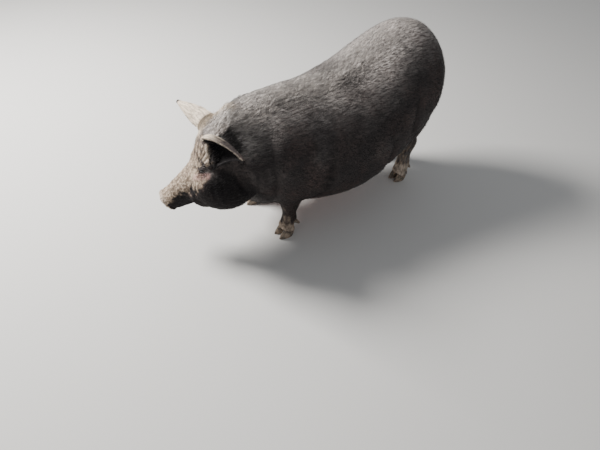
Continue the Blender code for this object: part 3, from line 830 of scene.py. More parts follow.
def press_folds(clay):
    for sign in SIDES.values():
        for fold in BODY_FOLDS:
            if fold.line[0][1] < 0.01 and sign < 0:
                continue
            line = [place(a, sign * b, c) for a, b, c in fold.line]
            clay.press(line, fold.width, fold.depth, fold.lip, 0.25)
    clay.apply()
    for sign in SIDES.values():
        clay.swell(on_head(0.245, sign * 0.1, 0.07), 0.02, 0.0045)
        clay.swell(on_head(0.33, sign * 0.074, 0.078), 0.016, 0.004)
        clay.swell(on_head(0.33, sign * 0.098, 0.014), 0.018, 0.003)
        for fold in HEAD_FOLDS:
            centred = fold.line[-1][1] < 0
            if centred and sign < 0:
                continue
            line = [on_head(a, sign * b, c) for a, b, c in fold.line]
            clay.press(line, fold.width, fold.depth, fold.lip, 0.3)
    for i, share in enumerate(MUZZLE_FOLDS):
        half = 0.052 - 0.012 * (share - 0.57) / 0.33
        lean = 0.012 * math.sin(i * 2.3)
        ways = np.linspace(-1, 1, 7)
        line = [on_head(share + lean * w, half * w, 0.045 - 0.05 * w * w) for w in ways]
        clay.press(line, 0.0024, 0.0015 + 0.0006 * math.sin(i * 1.7), 0.9, 0.3)
    clay.apply()


def vein_ears(clay):
    """Long shallow hollows between the veins of each ear, from its root to its tip."""
    for side, columns in EAR_VEINS.items():
        rows, across = EAR_GRID
        leaf = ear_points(EARS[side]).reshape(rows, across, 3)
        for i, share in enumerate(columns):
            start, stop = EAR_ROOT_ROWS + 1 + 2 * (i % 2), rows - 9 - 3 * (i % 3)
            lean = np.linspace(share, 0.5 + (share - 0.5) * 0.8, stop - start)
            line = [leaf[k, int(round(c * (across - 1)))] for k, c in zip(range(start, stop), lean)]
            clay.press(line[::4], 0.0032, 0.0013, 0.9, 0.25)
    clay.apply()


def ring_legs(clay):
    """Small folds round the fetlocks, knees and hocks."""
    for which, joints in LEGS.items():
        for sign in SIDES.values():
            centre = np.array([place(j.ahead, sign * j.left, j.up) for j in joints[2:]])
            far, _ = to_line(clay.points, smooth_line(centre))
            near = far < 0.055
            height = clay.points[near, 2]
            turn = np.arctan2(clay.points[near, 1], clay.points[near, 0])
            lift = np.zeros(near.sum())
            for i, up in enumerate(LEG_RINGS[which]):
                wave = up + 0.0035 * np.sin(turn * 40 + i) + 0.002 * np.sin(turn * 95 + 2 * i)
                gap = np.abs(height - wave) / 0.0028
                lift += 0.5 * np.exp(-(((gap - 2.0) / 1.0) ** 2)) - np.exp(-(gap**2))
            clay.points[near] += clay.normals[near] * (0.0012 * lift)[:, None]
            clay.fold[near] = np.maximum(clay.fold[near], np.clip(-lift, 0, 1) * 0.5)
    clay.apply()


def open_eyes(clay):
    """Lids that wrap each eyeball and a slit that shows it."""
    for sign in SIDES.values():
        front, top, out = eye_axes(sign)
        centre = np.array(eye_centre(sign))
        for half, height, width, depth, lip in LID_FOLDS:
            turn = np.linspace(math.radians(12), math.radians(168), 9)
            line = [
                centre + out * 0.013 + front * (half * math.cos(t)) + top * (height * math.sin(t))
                for t in turn
            ]
            clay.press(line, width, depth, lip)
        for start, end, below, depth in BAG_CREASES:
            line = [
                centre + out * 0.012 + front * start - top * BAG_TOP,
                centre + out * 0.01 + front * (start + end) / 2 - top * (BAG_TOP + below) / 2,
                centre + out * 0.006 + front * end - top * below,
            ]
            clay.press(line, 0.0018, depth * 0.75, 1.1)
        clay.apply()
        offset = clay.points - centre
        a, b, w = offset @ front, offset @ top, offset @ out
        flat = np.hypot(a / 1.2, b)
        near = (flat < 0.024) & (w > -0.004)
        a, b, w, flat = a[near], b[near], w[near], flat[near]
        lid = np.sqrt(np.maximum((EYE_RADIUS + LID_OVER) ** 2 - a**2 - b**2, 0))
        cover = step(flat, 0.0195, 0.0125)
        raised = np.maximum(w, lid * cover + w * (1 - cover))
        arc = np.clip(1 - (a / SLIT_HALF[0]) ** 2, 0, 1)
        upper, lower = SLIT_HALF[1] * arc**0.8, -SLIT_HALF[1] * 0.75 * arc**0.8
        edge = np.minimum(upper - b, b - lower)
        edge = np.where(np.abs(a) < SLIT_HALF[0], edge, -0.004)
        opening = step(edge, -0.0004, 0.0006)
        sunk = np.sqrt(np.maximum(EYE_RADIUS**2 - a**2 - b**2, 0)) - 0.003
        rim = np.exp(-(((edge + 0.0016) / 0.0011) ** 2)) * (np.abs(a) < SLIT_HALF[0] * 1.1)
        target = (raised + 0.0008 * rim) * (1 - opening) + sunk * opening
        clay.points[near] += out * (target - w)[:, None]
        # painted shade in the slit and along its edge, kept with the folds
        darkest_skin_and_shade = np.maximum(opening, 0.7 * np.exp(-((edge / 0.0014) ** 2)))
        clay.fold[near] = np.maximum(clay.fold[near], darkest_skin_and_shade)
        clay.apply()


def shape_snout(clay):
    """The flat disc of the snout, its rim and the nostrils."""
    share, left, up = head_places(clay.points)
    ahead = np.array(HEAD_AHEAD)
    rho = np.hypot(left / 0.041, (up - 0.0) / 0.037)
    near = (share > 0.9) & (rho < 1.4)
    disc = step(share[near], 0.955, 0.985)
    r = rho[near]
    lift = 0.0022 * np.exp(-(((r - 0.86) / 0.1) ** 2)) - 0.0022 * step(r, 0.78, 0.35)
    notch = 0.002 * np.exp(-((left[near] / 0.003) ** 2)) * step(up[near], 0.012, 0.03)
    clay.points[near] += ahead * ((lift - notch - 0.0032) * disc)[:, None]
    for sign in SIDES.values():
        across = (left[near] - sign * 0.0155) / 0.0076
        above = (up[near] - 0.002 - 0.25 * sign * (left[near] - sign * 0.0155)) / 0.0104
        pit = np.hypot(across, above)
        sink = 0.0135 * step(pit, 1.16, 0.6) - 0.0012 * np.exp(-(((pit - 1.35) / 0.22) ** 2))
        clay.points[near] -= ahead * (sink * disc)[:, None]
        # the nostrils are kept with the folds, where painted shade darkens them
        clay.fold[near] = np.maximum(clay.fold[near], step(pit, 1.1, 0.75) * disc)
    ring = np.exp(-(((share[near] - 0.945) / 0.012) ** 2)) - 0.8 * np.exp(
        -(((share[near] - 0.978) / 0.012) ** 2)
    )
    around = clay.normals[near] - ahead * (clay.normals[near] @ ahead)[:, None]
    clay.points[near] -= around * (0.0022 * ring * (r > 0.75))[:, None]
    clay.apply()


def roughen(clay):
    """Low lumps all over, and finer ones on the head."""
    share, left, up = head_places(clay.points)
    head = step(share, 0.0, 0.25) * step(np.hypot(left, up), 0.19, 0.15)
    muzzle = head * step(share, 0.42, 0.55)
    broad = noise_at(clay.points, 14.0, 2)
    fine = noise_at(clay.points, 75.0, 2, 9.0)
    small = np.zeros(len(fine))
    face = head > 0.05
    small[face] = noise_at(clay.points[face], 230.0, 2, 4.0)
    lift = 0.0016 * broad * (1 - head) + 0.0004 * fine * (1 - head)
    lift += head * (0.0009 * fine + 0.00045 * small) + muzzle * (0.0007 * fine + 0.0005 * small)
    clay.points += clay.normals * lift[:, None]
    clay.apply()


# ---- where things are on the skin ---------------------------------------------------------------
def ear_weights(points):
    """For each ear: nearness to its leaf, share from root to tip, share from rim to rim, inside."""
    found = {}
    rows, columns = EAR_GRID
    for side, ear in EARS.items():
        coarse = ear_points(ear).reshape(rows, -1)[EAR_ROOT_ROWS:]
        count = (len(coarse) - 1) * EAR_FINER + 1
        finer = np.linspace(0, len(coarse) - 1, count)
        leaf = smooth_rows(np.arange(len(coarse)), coarse, finer).reshape(count, columns, 3)
        middles = (leaf[:, 0] + leaf[:, -1]) / 2
        leaf = leaf.reshape(-1, 3)
        tree = kdtree.KDTree(len(leaf))
        for i, point in enumerate(leaf):
            tree.insert(point, i)
        tree.balance()
        near, s, rim, inside = (np.zeros(len(points)) for _ in range(4))
        low, high = leaf.min(axis=0) - 0.02, leaf.max(axis=0) + 0.02
        for i in np.where(np.all((points > low) & (points < high), axis=1))[0]:
            spot, k, far = tree.find(points[i])
            s[i] = (k // columns) / (count - 1)
            rim[i] = (k % columns) / (columns - 1)
            near[i] = far
            inward = (Vector(middles[k // columns]) - spot).normalized()
            inside[i] = (Vector(points[i]) - spot).dot(inward)
        weight = np.where(near > 0, step(near, *EAR_NEAR), 0.0)
        found[side] = (weight, s, rim, step(inside, -0.0012, 0.0008))
    return found


def leg_weights(points):
    """Nearness to the lower part of any leg, from 0 to 1."""
    best = np.zeros(len(points))
    for joints in LEGS.values():
        for sign in SIDES.values():
            line = smooth_line([place(j.ahead, sign * j.left, j.up) for j in joints[1:]])
            far, share = to_line(points, line)
            radius = 0.052 - 0.014 * share
            best = np.maximum(best, step(far, radius * 1.5, radius) * step(share, 0.05, 0.35))
    return best


def tail_weights(points):
    line = smooth_line([place(*spot[:3]) for spot in TAIL])
    far, share = to_line(points, line)
    radius = 0.02 - 0.009 * share
    return step(far, radius * 1.25, radius) * step(share, 0.02, 0.12), share


def head_weight(points):
    share, left, up = head_places(points)
    return step(share, -0.05, 0.2) * step(np.hypot(left, up), 0.2, 0.16)


def spot_at(points, centre, radius, soft=0.5):
    far = np.linalg.norm(points - np.array(centre), axis=1)
    return step(far, radius, radius * soft)


DARK_SPOTS = (  # places on the back with less dust and painted sunlight: (ahead, left, up), radius, share lost
    ((0.44, 0.08, 0.485), 0.085, 0.6),
    ((0.6, 0.09, 0.46), 0.07, 0.2),
    ((0.8, 0.125, 0.42), 0.06, 0.5),
    ((0.06, 0.06, 0.56), 0.06, 0.4),
)
MUD_EDGE = (  # height in the head's frame above which the face is muddy, at each share ahead; below it the face stays dark, partly as painted shade
    (0.2, 0.04), (0.3, 0.032), (0.36, 0.03), (0.43, 0.027), (0.55, 0.017), (0.68, 0.006),
    (0.8, 0.004), (0.93, 0.006), (0.965, -0.012), (1.0, -0.026),
)


LIDS = ((0.395, 0.072, 0.06), (0.24, 0.106, 0.047))  # lines of the head: (share, left, up)
BROW = ((0.14, 0.086, 0.096), (0.24, 0.082, 0.078))
CHEEK = ((0.33, 0.116, 0.032), (0.47, 0.086, 0.03))
BAG = ((0.28, 0.11, 0.036), (0.37, 0.097, 0.044), (0.47, 0.072, 0.046))
WHOLE_LINE = (-2.0, -1.0)


class Lay:
    """Where each point of the skin lies, how near it is to each part, and soft noise."""

    def __init__(self, clay):
        self.points, self.normals, self.fold = clay.points, clay.normals, clay.fold
        self.facing_up = self.normals[:, 2]
        self.share, self.left, self.up = head_places(self.points)
        self.ahead, self.side, self.height = self.points.T * ((-1,), (-1,), (1,))
        self.head, self.legs = head_weight(self.points), leg_weights(self.points)
        self.tail, self.tail_share = tail_weights(self.points)
        self.ears = ear_weights(self.points)
        self.ear = np.maximum(self.ears["left"][0], self.ears["right"][0])
        self.body = (1 - self.head) * (1 - self.legs) * (1 - self.ear)
        self.wide = noise_at(self.points, 9.0, 2, 3.0)
        self.patch = noise_at(self.points, 34.0, 2, 11.0)
        self.fine = noise_at(self.points, 85.0, 2, 17.0)
        # the back of the rump, which gets painted shade and less dust and painted sunlight
        self.shaded_rear = step(self.ahead, 0.05, 0.0) * step(self.height, 0.56, 0.48)
        self.hind = step(self.ahead, 0.4, 0.3)
        self.disc = self.head * step(self.share, 0.965, 0.985)
        # the upper lids under the brow, darkened as the brow's painted shadow
        self.lids = self.near_lines(LIDS, 0.004, 0.015, 0.007)
        # the face's mud: how far back it reaches, and how high on the side it starts, leaving the
        # underside dark, partly as painted shade
        self.ragged = 0.045 * self.patch + 0.03 * self.fine
        self.reach = step(self.share + self.ragged, 0.33, 0.44) * self.head
        edge = np.interp(self.share, *zip(*MUD_EDGE))
        self.above = step(self.up - edge + 0.26 * self.ragged, -0.012, 0.009)
        splash = self.height + 0.085 * self.patch + 0.035 * self.fine
        self.splash = self.legs * step(splash, 0.135, 0.03)
        belly = step(self.height, 0.165, 0.105) * step(np.abs(self.side), 0.175, 0.13)
        belly *= step(self.ahead, 0.14, 0.24) * step(self.ahead, 0.74, 0.64)
        self.belly = belly * step(self.facing_up, 0.0, -0.5)

    def near_lines(self, line, ragged, outer, inner, fade=WHOLE_LINE):
        """Nearness to a line of the head and to its mirror image, from 0 to 1."""
        found = np.zeros(len(self.points))
        for sign in SIDES.values():
            run = np.array([on_head(a, sign * b, c) for a, b, c in line])
            far, share = to_line(self.points, run)
            near = step(far + ragged * self.fine, outer, inner) * step(share, *fade)
            found = np.maximum(found, near)
        return found


def dust_and_sunlight_on(at):
    """Dust along the back, on the neck's crest, the scalp and the hind legs, strongest where the
    skin faces up, which also paints sunlight on the top.
    """
    keys = [part.share * TRUNK_LENGTH for part in TRUNK]
    half = np.interp(at.ahead, keys, [part.half for part in TRUNK])
    half = np.where(at.ahead > 0.8, 0.15, np.maximum(half, 0.12))
    across = np.abs(at.side - 0.026 * step(at.ahead, 0.7, 0.84)) / half
    across = across + 0.16 * at.wide + 0.1 * at.patch
    # skin that faces up is paler: painted sunlight as well as dust
    upward = step(at.facing_up, 0.2, 0.62) * step(across, 0.92, 0.06)
    dust_and_sunlight = at.body * upward * (1.0 + 0.25 * at.wide + 0.15 * at.fine)
    for (ahead, left, up), size, faded in DARK_SPOTS:
        for sign in SIDES.values():
            dust_and_sunlight *= 1 - faded * spot_at(at.points, place(ahead, sign * left, up), size, 0.2)
    crest = step(at.ahead, 0.74, 0.86) * step(at.height, 0.36, 0.44)
    crest = at.body * crest * (0.8 + 0.3 * at.wide) * step(at.facing_up, 0.1, 0.7)
    dust_and_sunlight = np.maximum(dust_and_sunlight, crest)
    dust_and_sunlight += at.body * 0.09 * step(at.wide, -0.1, 0.6) * step(at.height, 0.15, 0.35)
    dust_and_sunlight *= (1 - 0.09 * step(at.ahead, 0.26, 0.12)) * (1 - 0.8 * at.shaded_rear)
    scalp = at.head * step(at.share, 0.42, 0.05) * step(at.facing_up, 0.25, 0.85)
    dust_and_sunlight = np.maximum(dust_and_sunlight, scalp * (0.85 + 0.3 * at.patch))
    return np.maximum(dust_and_sunlight, at.legs * 0.22 * at.hind * step(at.height, 0.26, 0.16))


def mud_on(at):
    """Dried mud on the face, the feet and in specks, and where it is pale."""
    mud = at.reach * at.above * (0.95 + 0.25 * at.patch)
    below = step(at.up, -0.06, -0.01) * step(at.fine, 0.2, 0.5)
    mud = np.maximum(mud, 0.2 * at.reach * below)
    low = 0.046 - 0.016 * step(at.share, 0.3, 0.42)
    forehead = at.head * step(at.share + at.ragged, 0.06, 0.2)
    forehead *= step(at.up + 0.2 * at.ragged - low, 0.0, 0.016)
    mud = np.maximum(mud, forehead * (0.66 + 0.5 * at.fine))
    cheek = at.near_lines(CHEEK, 0.008, 0.018, 0.004) * (0.55 + 0.45 * at.patch)
    # pale mud on the brow, also painting the sunlight that falls there
    brow = at.near_lines(BROW, 0.006, 0.026, 0.012) * (0.85 + 0.4 * at.fine)
    mud = np.maximum(np.maximum(mud, cheek * at.above), brow) * (1 - 0.85 * at.lids)
    brow *= 1 - 0.9 * at.lids
    spattered = at.legs * (0.25 + 0.55 * at.hind) * step(at.fine, -0.4, 0.4)
    for more in (
        at.splash * (0.92 + 0.3 * at.fine),
        spattered * step(at.height, 0.25 + 0.05 * at.hind, 0.14),
        at.body * step(at.height, 0.16, 0.09) * 0.3 * step(at.patch, 0.1, 0.6),
        at.body * 0.42 * step(at.fine, 0.45, 0.75) * step(at.height, 0.4, 0.28),
    ):
        mud = np.maximum(mud, more)
    pale = np.maximum(0.8 * at.head * step(at.share + 0.3 * at.ragged, 0.92, 0.975), 0.9 * brow)
    return mud, np.maximum(pale, at.splash * (0.3 + 0.7 * at.hind))


def pink_on(at):
    """Bare pink skin under the eyes, on the belly and teats, and on the snout's disc."""
    pink = at.near_lines(BAG, 0.005, 0.015, 0.005, (-0.01, 0.2)) * (1 - 0.8 * at.lids)
    pink = np.maximum(pink, 0.3 * at.reach * at.above * step(at.patch, 0.05, 0.5))
    pink = np.maximum(pink, (1 - at.legs) * at.belly * (0.62 + 0.4 * at.patch))
    for ahead in TEATS_AHEAD:
        low = belly_at(ahead, TEAT_ASIDE)
        for sign in SIDES.values():
            tip = place(ahead, sign * TEAT_ASIDE, low - 0.012)
            pink = np.maximum(pink, spot_at(at.points, tip, 0.022, 0.5))
    return np.maximum(pink, 0.55 * at.disc)


def mark_left_ear(at, marks):
    """A cream band along the curled upper rim, painted as sunlit, a painted highlight on its edge,
    and painted shade in the hollow.
    """
    weight, s, rim, inside = at.ears["left"]
    root, span, tip, hollow = (np.array(v) for v in ear_frame(EARS["left"]))
    run = tip - root
    # the side of the curled rim that faces up gets cream as painted sunlight
    sunlit_roll = step(rim, 0.58, 0.76) * step(at.normals @ unit(span[None])[0], 0.0, 0.4)
    cream = weight * sunlit_roll * step(s + 0.1 * at.fine, 0.72, 0.2)
    # a thin painted highlight along the upper rim's edge
    edge = weight * 0.4 * step(np.abs(rim - 0.5), 0.45, 0.49) * (rim > 0.5)
    marks["cream"] = np.maximum(cream, edge)
    marks["mud"] *= 1 - 0.95 * weight * (1 - sunlit_roll)
    # painted shade inside the ear and along its lower rim
    dark = weight * np.maximum(inside * (1 - 0.9 * sunlit_roll), step(rim, 0.35, 0.15))
    offset = at.points - root
    out, across, deep = offset @ run / (run @ run), offset @ span / (span @ span), offset @ hollow
    # painted shade deep in the ear's hollow
    ear_hollow_shade = step(deep, 0.004, -0.004) * step(deep, -0.075, -0.06)
    ear_hollow_shade *= step(np.abs(across), 1.0, 0.85) * step(out, -0.16, -0.08) * step(out, 0.6, 0.4)
    mouth = unit((hollow + 0.9 * run / np.linalg.norm(run))[None])[0]
    marks["dark"] = np.maximum(dark, ear_hollow_shade * step(at.normals @ mouth, -0.1, 0.25))


def mark_right_ear(at, marks):
    """A cream ear, pale skin brightened as painted sunlight, with a painted shadow in the fold at
    its tip, and cream hair round its root.
    """
    leaf, s, rim, _ = at.ears["right"]
    root, _, tip, _ = (np.array(v) for v in ear_frame(EARS["right"]))
    far, _ = to_line(at.points, np.array([root - (tip - root) * 0.06, tip]))
    base = step(far + 0.012 * at.fine, 0.084, 0.045) * step(at.up, 0.062, 0.078)
    base *= step(at.left + 0.006 * at.fine, -0.004, -0.036)
    weight = np.maximum(leaf, base * 0.9)
    marks["mud"] *= 1 - 0.9 * weight
    faded = 0.4 * step(rim, 0.3, 0.05) + 0.3 * step(at.patch, 0.1, 0.6)
    # painted shadow of the fold at the ear's tip
    notch = leaf * step(s + 0.03 * at.fine, 0.88, 0.97)
    cream = np.maximum(marks["cream"], weight * 0.97 * (1 - leaf * faded))
    marks["cream"] = cream * (1 - notch)
    marks["dust_and_sunlight"] = np.maximum(marks["dust_and_sunlight"], 0.8 * weight)
    marks["pink"] = np.maximum(marks["pink"], leaf * 0.35 * step(at.patch, -0.3, 0.5))
    marks["dark"] = np.maximum(marks["dark"], notch)


def darken(at, marks):
    """Painted shade over the black skin on the jowl, cheek, lids and rump, in the nostrils and on
    the forelegs.
    """
    # the nostrils' pits, painted dark as shade
    nostril = at.head * step(at.share, 0.93, 0.945) * step(at.fold, 0.3, 0.7)
    nostril *= step(np.abs(at.left), 0.004, 0.007) * step(np.hypot(at.left, at.up), 0.034, 0.029)
    marks["mud"] *= 1 - nostril
    bare = 1.0
    for name in ("mud", "cream", "pink"):
        bare = bare * (1 - np.clip(marks[name], 0, 1))
    # painted shade on the lower jowl and cheek
    jowl = at.head * bare * step(at.up, 0.05, 0.015) * step(at.share, 0.02, 0.17)
    # painted shade on the forelegs under the body
    foreleg = at.legs * bare * step(at.ahead, 0.4, 0.5)
    for more in (0.5 * at.shaded_rear * at.body, 0.92 * jowl, 0.55 * at.lids, nostril, 0.45 * foreleg):
        marks["dark"] = np.maximum(marks["dark"], more)
    marks["dust_and_sunlight"] *= 1 - 0.45 * np.clip(marks["dark"], 0, 1)


def mark_skin(clay):
    """Keeps on the skin its mud, pink and cream, its dust with painted sunlight on the top, its
    black skin with painted shade, and how the coat lies.
    """
    at = Lay(clay)
    mud, pale = mud_on(at)
    mud *= 1 - 0.45 * at.disc * step(np.hypot(at.left, at.up), 0.04, 0.03)
    marks = {"dust_and_sunlight": dust_and_sunlight_on(at), "mud": mud, "pale": pale, "pink": pink_on(at)}
    mark_left_ear(at, marks)
    mark_right_ear(at, marks)
    darken(at, marks)
    # the folds' depth, which the skin's finish darkens as painted shade
    marks["crease"], marks["leaf"] = at.fold, at.ear
    marks["face"], marks["limb"] = np.maximum(at.head, at.ear), np.maximum(at.legs, at.tail)
    for name, values in marks.items():
        keep_number(clay.mesh, name, np.clip(values, 0, 1))
    spots = np.stack([at.share * HEAD_LENGTH, at.left, at.up], axis=1)
    for side, (weight, s, rim, _) in at.ears.items():
        root, span, tip, _ = ear_frame(EARS[side])
        on_leaf = np.stack([s * (tip - root).length, rim * span.length * 2, 0 * s], axis=1)
        spots = np.where(weight[:, None] > 0.5, on_leaf, spots)
    keep_vector(clay.mesh, "head_place", spots)
    lay_coat(clay.mesh, at)


def coat_flow(at):
    """Which way the bristles lie, along the skin."""
    flow = np.tile(np.array([1.0, 0.0, 0.0]), (len(at.points), 1))
    flow[:, 2] -= 0.4 * np.abs(at.normals[:, 1]) + 0.9 * step(at.ahead, 0.16, 0.0)
    flow[:, 2] += 0.25 * noise_at(at.points, 5.0, 1, 2.0)
    parts = [
        (at.head, -np.array(HEAD_AHEAD) - 0.25 * np.array(HEAD_UP)),
        (at.legs, np.array([0.25, 0.0, -1.0])),
        (at.tail, np.array([0.0, 0.0, -1.0])),
    ]
    for name, (weight, _, _, _) in at.ears.items():
        root, _, tip, _ = ear_frame(EARS[name])
        parts.append((weight, np.array((tip - root).normalized())))
    for weight, way in parts:
        flow = flow * (1 - weight[:, None]) + way[None] * weight[:, None]
    return unit(flow - at.normals * np.sum(flow * at.normals, axis=1, keepdims=True))


def coat_length(at, crest, rim):
    """How long the bristles are."""
    length = 0.0185 + 0.013 * crest
    length += 0.01 * step(at.ahead, 0.7, 0.84) * step(at.facing_up, 0.0, 0.6)
    face = 0.015 - 0.0085 * step(at.share, 0.3, 0.62)
    length = length * (1 - at.head) + face * at.head
    root = np.array(ear_frame(EARS["right"])[0])
    length += 0.007 * step(np.linalg.norm(at.points - root, axis=1), 0.052, 0.026)
    for weight, own in (
        (at.legs, 0.0135 - 0.006 * step(at.height, 0.12, 0.05)),
        (at.ear, 0.0075 + 0.004 * rim),
        (at.tail, 0.02 + 0.02 * step(at.tail_share, 0.7, 1.0)),
    ):
        length = length * (1 - weight) + own * weight
    length *= 1 - 0.35 * step(at.height, 0.565, 0.6) * (1 - at.ear)
    return length * (1 - 0.3 * step(at.ahead, 0.03, 0.0) * (1 - at.tail))


def coat_thickness(at, crest, rim):
    """How thickly the bristles stand."""
    thick = 1.0 + 0.5 * crest
    thick = thick * (1 - at.head) + 1.5 * at.head
    thick *= 1 - at.head * step(at.share, 0.88, 0.95)
    thick = thick * (1 - at.ear) + (0.6 + 1.6 * rim) * at.ear
    thick *= 1 - 0.55 * np.clip(at.ears["right"][0] * (1 - rim), 0, 1)
    thick *= 1 - 0.75 * at.belly
    thick *= 1 + 1.0 * at.legs
    thick = thick * (1 - at.tail) + (2.0 + 6.0 * step(at.tail_share, 0.75, 1.0)) * at.tail
    thick *= 1 - np.clip(at.fold * 1.4, 0, 1)
    thick *= 1 - at.disc
    thick *= step(at.height, CORONET + 0.001, CORONET + 0.01)
    for sign in SIDES.values():
        eye = eye_centre(sign) + Vector(eye_axes(sign)[2]) * 0.012
        thick *= 1 - spot_at(at.points, eye, 0.013, 0.8)
    return np.clip(thick, 0, 12)


def lay_coat(mesh, at):
    """Keeps which way the bristles lie, how long they are and how thickly they stand."""
    keep_vector(mesh, "flow", coat_flow(at))
    rim = np.maximum(
        at.ears["left"][0] * step(at.ears["left"][2] - 0.5, 0.4, 0.48),
        at.ears["right"][0] * step(np.abs(at.ears["right"][2] - 0.5), 0.4, 0.48),
    )
    crest = step(at.facing_up, 0.55, 0.92) * step(np.abs(at.side), 0.085, 0.03) * (1 - at.head)
    edge = step(at.facing_up, 0.7, 0.95) * step(at.ahead, 0.28, 0.4) * (1 - at.head)
    keep_number(mesh, "coat_length", coat_length(at, crest, rim))
    keep_number(mesh, "coat_rise", 1 + 0.9 * edge)
    keep_number(mesh, "coat_thick", coat_thickness(at, crest, rim))


# ---- the skin ----------------------------------------------------------------------------------
def rough_flesh():
    """Every mass of the body as one smooth solid, without ears and tail."""
    pieces = [trunk_and_neck(), head_mass(), *masses(), *udder()]
    for ear in EARS.values():
        if ear.ridge:
            pieces += ear_ridge(ear)
    for joints in LEGS.values():
        for sign in SIDES.values():
            pieces.append(leg_mass(joints, sign))
    flesh = joined("flesh", pieces)
    modified(flesh, "REMESH", mode="VOXEL", voxel_size=ROUGH_VOXEL)
    return modified(flesh, "SMOOTH", factor=0.5, iterations=ROUGH_SMOOTHING)


def thinned(made, triangles):
    """Fewer triangles on the trunk and legs; the head and ears keep theirs."""
    points = points_of(made.data)
    share, left, up = head_places(points)
    keep = step(share, -0.05, 0.3) * step(np.hypot(left, up), 0.2, 0.16)
    ears = ear_weights(points)
    keep = np.maximum(keep, np.maximum(ears["left"][0], ears["right"][0]))
    muzzle = step(share, 0.35, 0.5)
    keep = keep * (0.8 + 0.18 * muzzle)
    group = made.vertex_groups.new(name="may thin")
    levels = np.round((1 - keep) * 20) / 20
    for level in np.unique(levels):
        chosen = np.where(levels == level)[0].tolist()
        group.add(chosen, float(max(level, 0.01)), "REPLACE")
    count = sum(len(face.vertices) - 2 for face in made.data.polygons)
    modified(
        made,
        "DECIMATE",
        ratio=min(triangles / count, 1.0),
        vertex_group="may thin",
        vertex_group_factor=1.0,
        use_collapse_triangulate=True,
    )
    made.vertex_groups.clear()


def refined(made, near):
    """Splits the triangles whose middles lie where near(points) is true."""
    work = bmesh.new()
    work.from_mesh(made.data)
    middles = np.array([face.calc_center_median() for face in work.faces])
    chosen = near(middles)
    edges = set()
    for face, wanted in zip(work.faces, chosen):
        if wanted:
            edges.update(face.edges)
    bmesh.ops.subdivide_edges(work, edges=list(edges), cuts=1, use_grid_fill=True)
    bmesh.ops.triangulate(work, faces=[face for face in work.faces if len(face.verts) > 3])
    work.to_mesh(made.data)
    work.free()


def near_eyes(radius):
    def chosen(points):
        found = np.zeros(len(points), bool)
        for sign in SIDES.values():
            middle = np.array(eye_centre(sign)) + eye_axes(sign)[2] * 0.01
            found |= np.linalg.norm(points - middle, axis=1) < radius
        return found

    return chosen


def near_snout(points):
    share, left, up = head_places(points)
    return (share > 0.955) & (np.hypot(left, up) < 0.06)


def near_nostrils(points):
    share, left, up = head_places(points)
    return (share > 0.97) & (np.abs(np.abs(left) - 0.0155) < 0.012) & (np.abs(up - 0.002) < 0.014)


def ease_ear_roots(skin):
    """Rounds the corner where each ear grows out of the head."""
    points = points_of(skin.data)
    group = skin.vertex_groups.new(name="ear roots")
    for side, ear in EARS.items():
        root, span, tip, _ = ear_frame(ear)
        run = (tip - root).normalized()
        for lift, size in EAR_ROOT_EASE[side]:
            middle = root + run * lift
            line = np.array([middle - span * 1.15, middle + span * 1.15])
            far, _ = to_line(points, line)
            weights = np.round(step(far, size, size * 0.45) * 10) / 10
            for level in np.unique(weights[weights > 0]):
                group.add(np.where(weights == level)[0].tolist(), float(level), "ADD")
    modified(skin, "SMOOTH", factor=0.5, iterations=40, vertex_group="ear roots")
    skin.vertex_groups.clear()


def fit_coronets(points):
    """Draws the skin to the claws' outline where it meets them."""
    long, wide = CORONET_HALF
    for joints in LEGS.values():
        foot = joints[-2]
        for sign in SIDES.values():
            middle = np.array(place(foot.ahead - CORONET_BACK, sign * foot.left, foot.up))
            offset = points - middle
            near = (np.hypot(offset[:, 0], offset[:, 1]) < 0.06) & (points[:, 2] < CORONET_TOP)
            flat = offset[near, :2]
            spread = np.abs(flat[:, 0] / long) ** 2.7 + np.abs(flat[:, 1] / wide) ** 2.7
            reach = spread ** (1 / 2.7)
            taper = step(points[near, 2], CORONET_TOP, 0.037) * step(reach, 0.3, 0.6)
            fitted = flat / np.maximum(reach, 0.3)[:, None]
            points[near, :2] = middle[:2] + flat + (fitted - flat) * taper[:, None]


def bare_skin(settings):
    """The whole skin, inset by the coat's depth, before its folds are pressed."""
    flesh = rough_flesh()
    leaves = [ear_leaf(f"ear {side}", ear) for side, ear in EARS.items()]
    skin = joined("skin", [flesh, *leaves, tail_mass()])
    cell = settings.cell * 1.0
    modified(skin, "REMESH", mode="VOXEL", voxel_size=cell)
    modified(skin, "SMOOTH", factor=0.5, iterations=5)
    ease_ear_roots(skin)
    points = points_of(skin.data)
    sole = CORONET - 0.003
    points[:, 2] = np.maximum(points[:, 2], sole)
    fit_coronets(points)
    move_points(skin.data, points)
    thinned(skin, settings.triangles // (1))
    refined(skin, near_eyes(0.034))
    refined(skin, near_eyes(0.021))
    refined(skin, near_snout)
    refined(skin, near_nostrils)
    points, normals = points_of(skin.data), normals_of(skin.data)
    head, legs, ears = head_weight(points), leg_weights(points), ear_weights(points)
    body, face = settings.body_depth, settings.face_depth
    face = body + (face - body) * step(head_places(points)[0], 0.2, 0.5)
    depth = body * (1 - head) + face * head
    depth = depth * (1 - legs) + settings.face_depth * legs
    thin = np.maximum(ears["left"][0], ears["right"][0])
    depth = depth * (1 - thin) + 0.0002 * thin
    depth *= step(points[:, 2], sole, sole + 0.004)
    move_points(skin.data, points - normals * depth[:, None])
    return skin


def finished(made, material, smooth=True):
    """Gives a piece its finish, smooth shading and its place in the frame."""
    mesh = made.data
    mesh.materials.clear()
    mesh.materials.append(material)
    mesh.transform(Matrix.Translation(SETTLE))
    if smooth:
        mesh.shade_smooth()
    mesh.update()
    return made


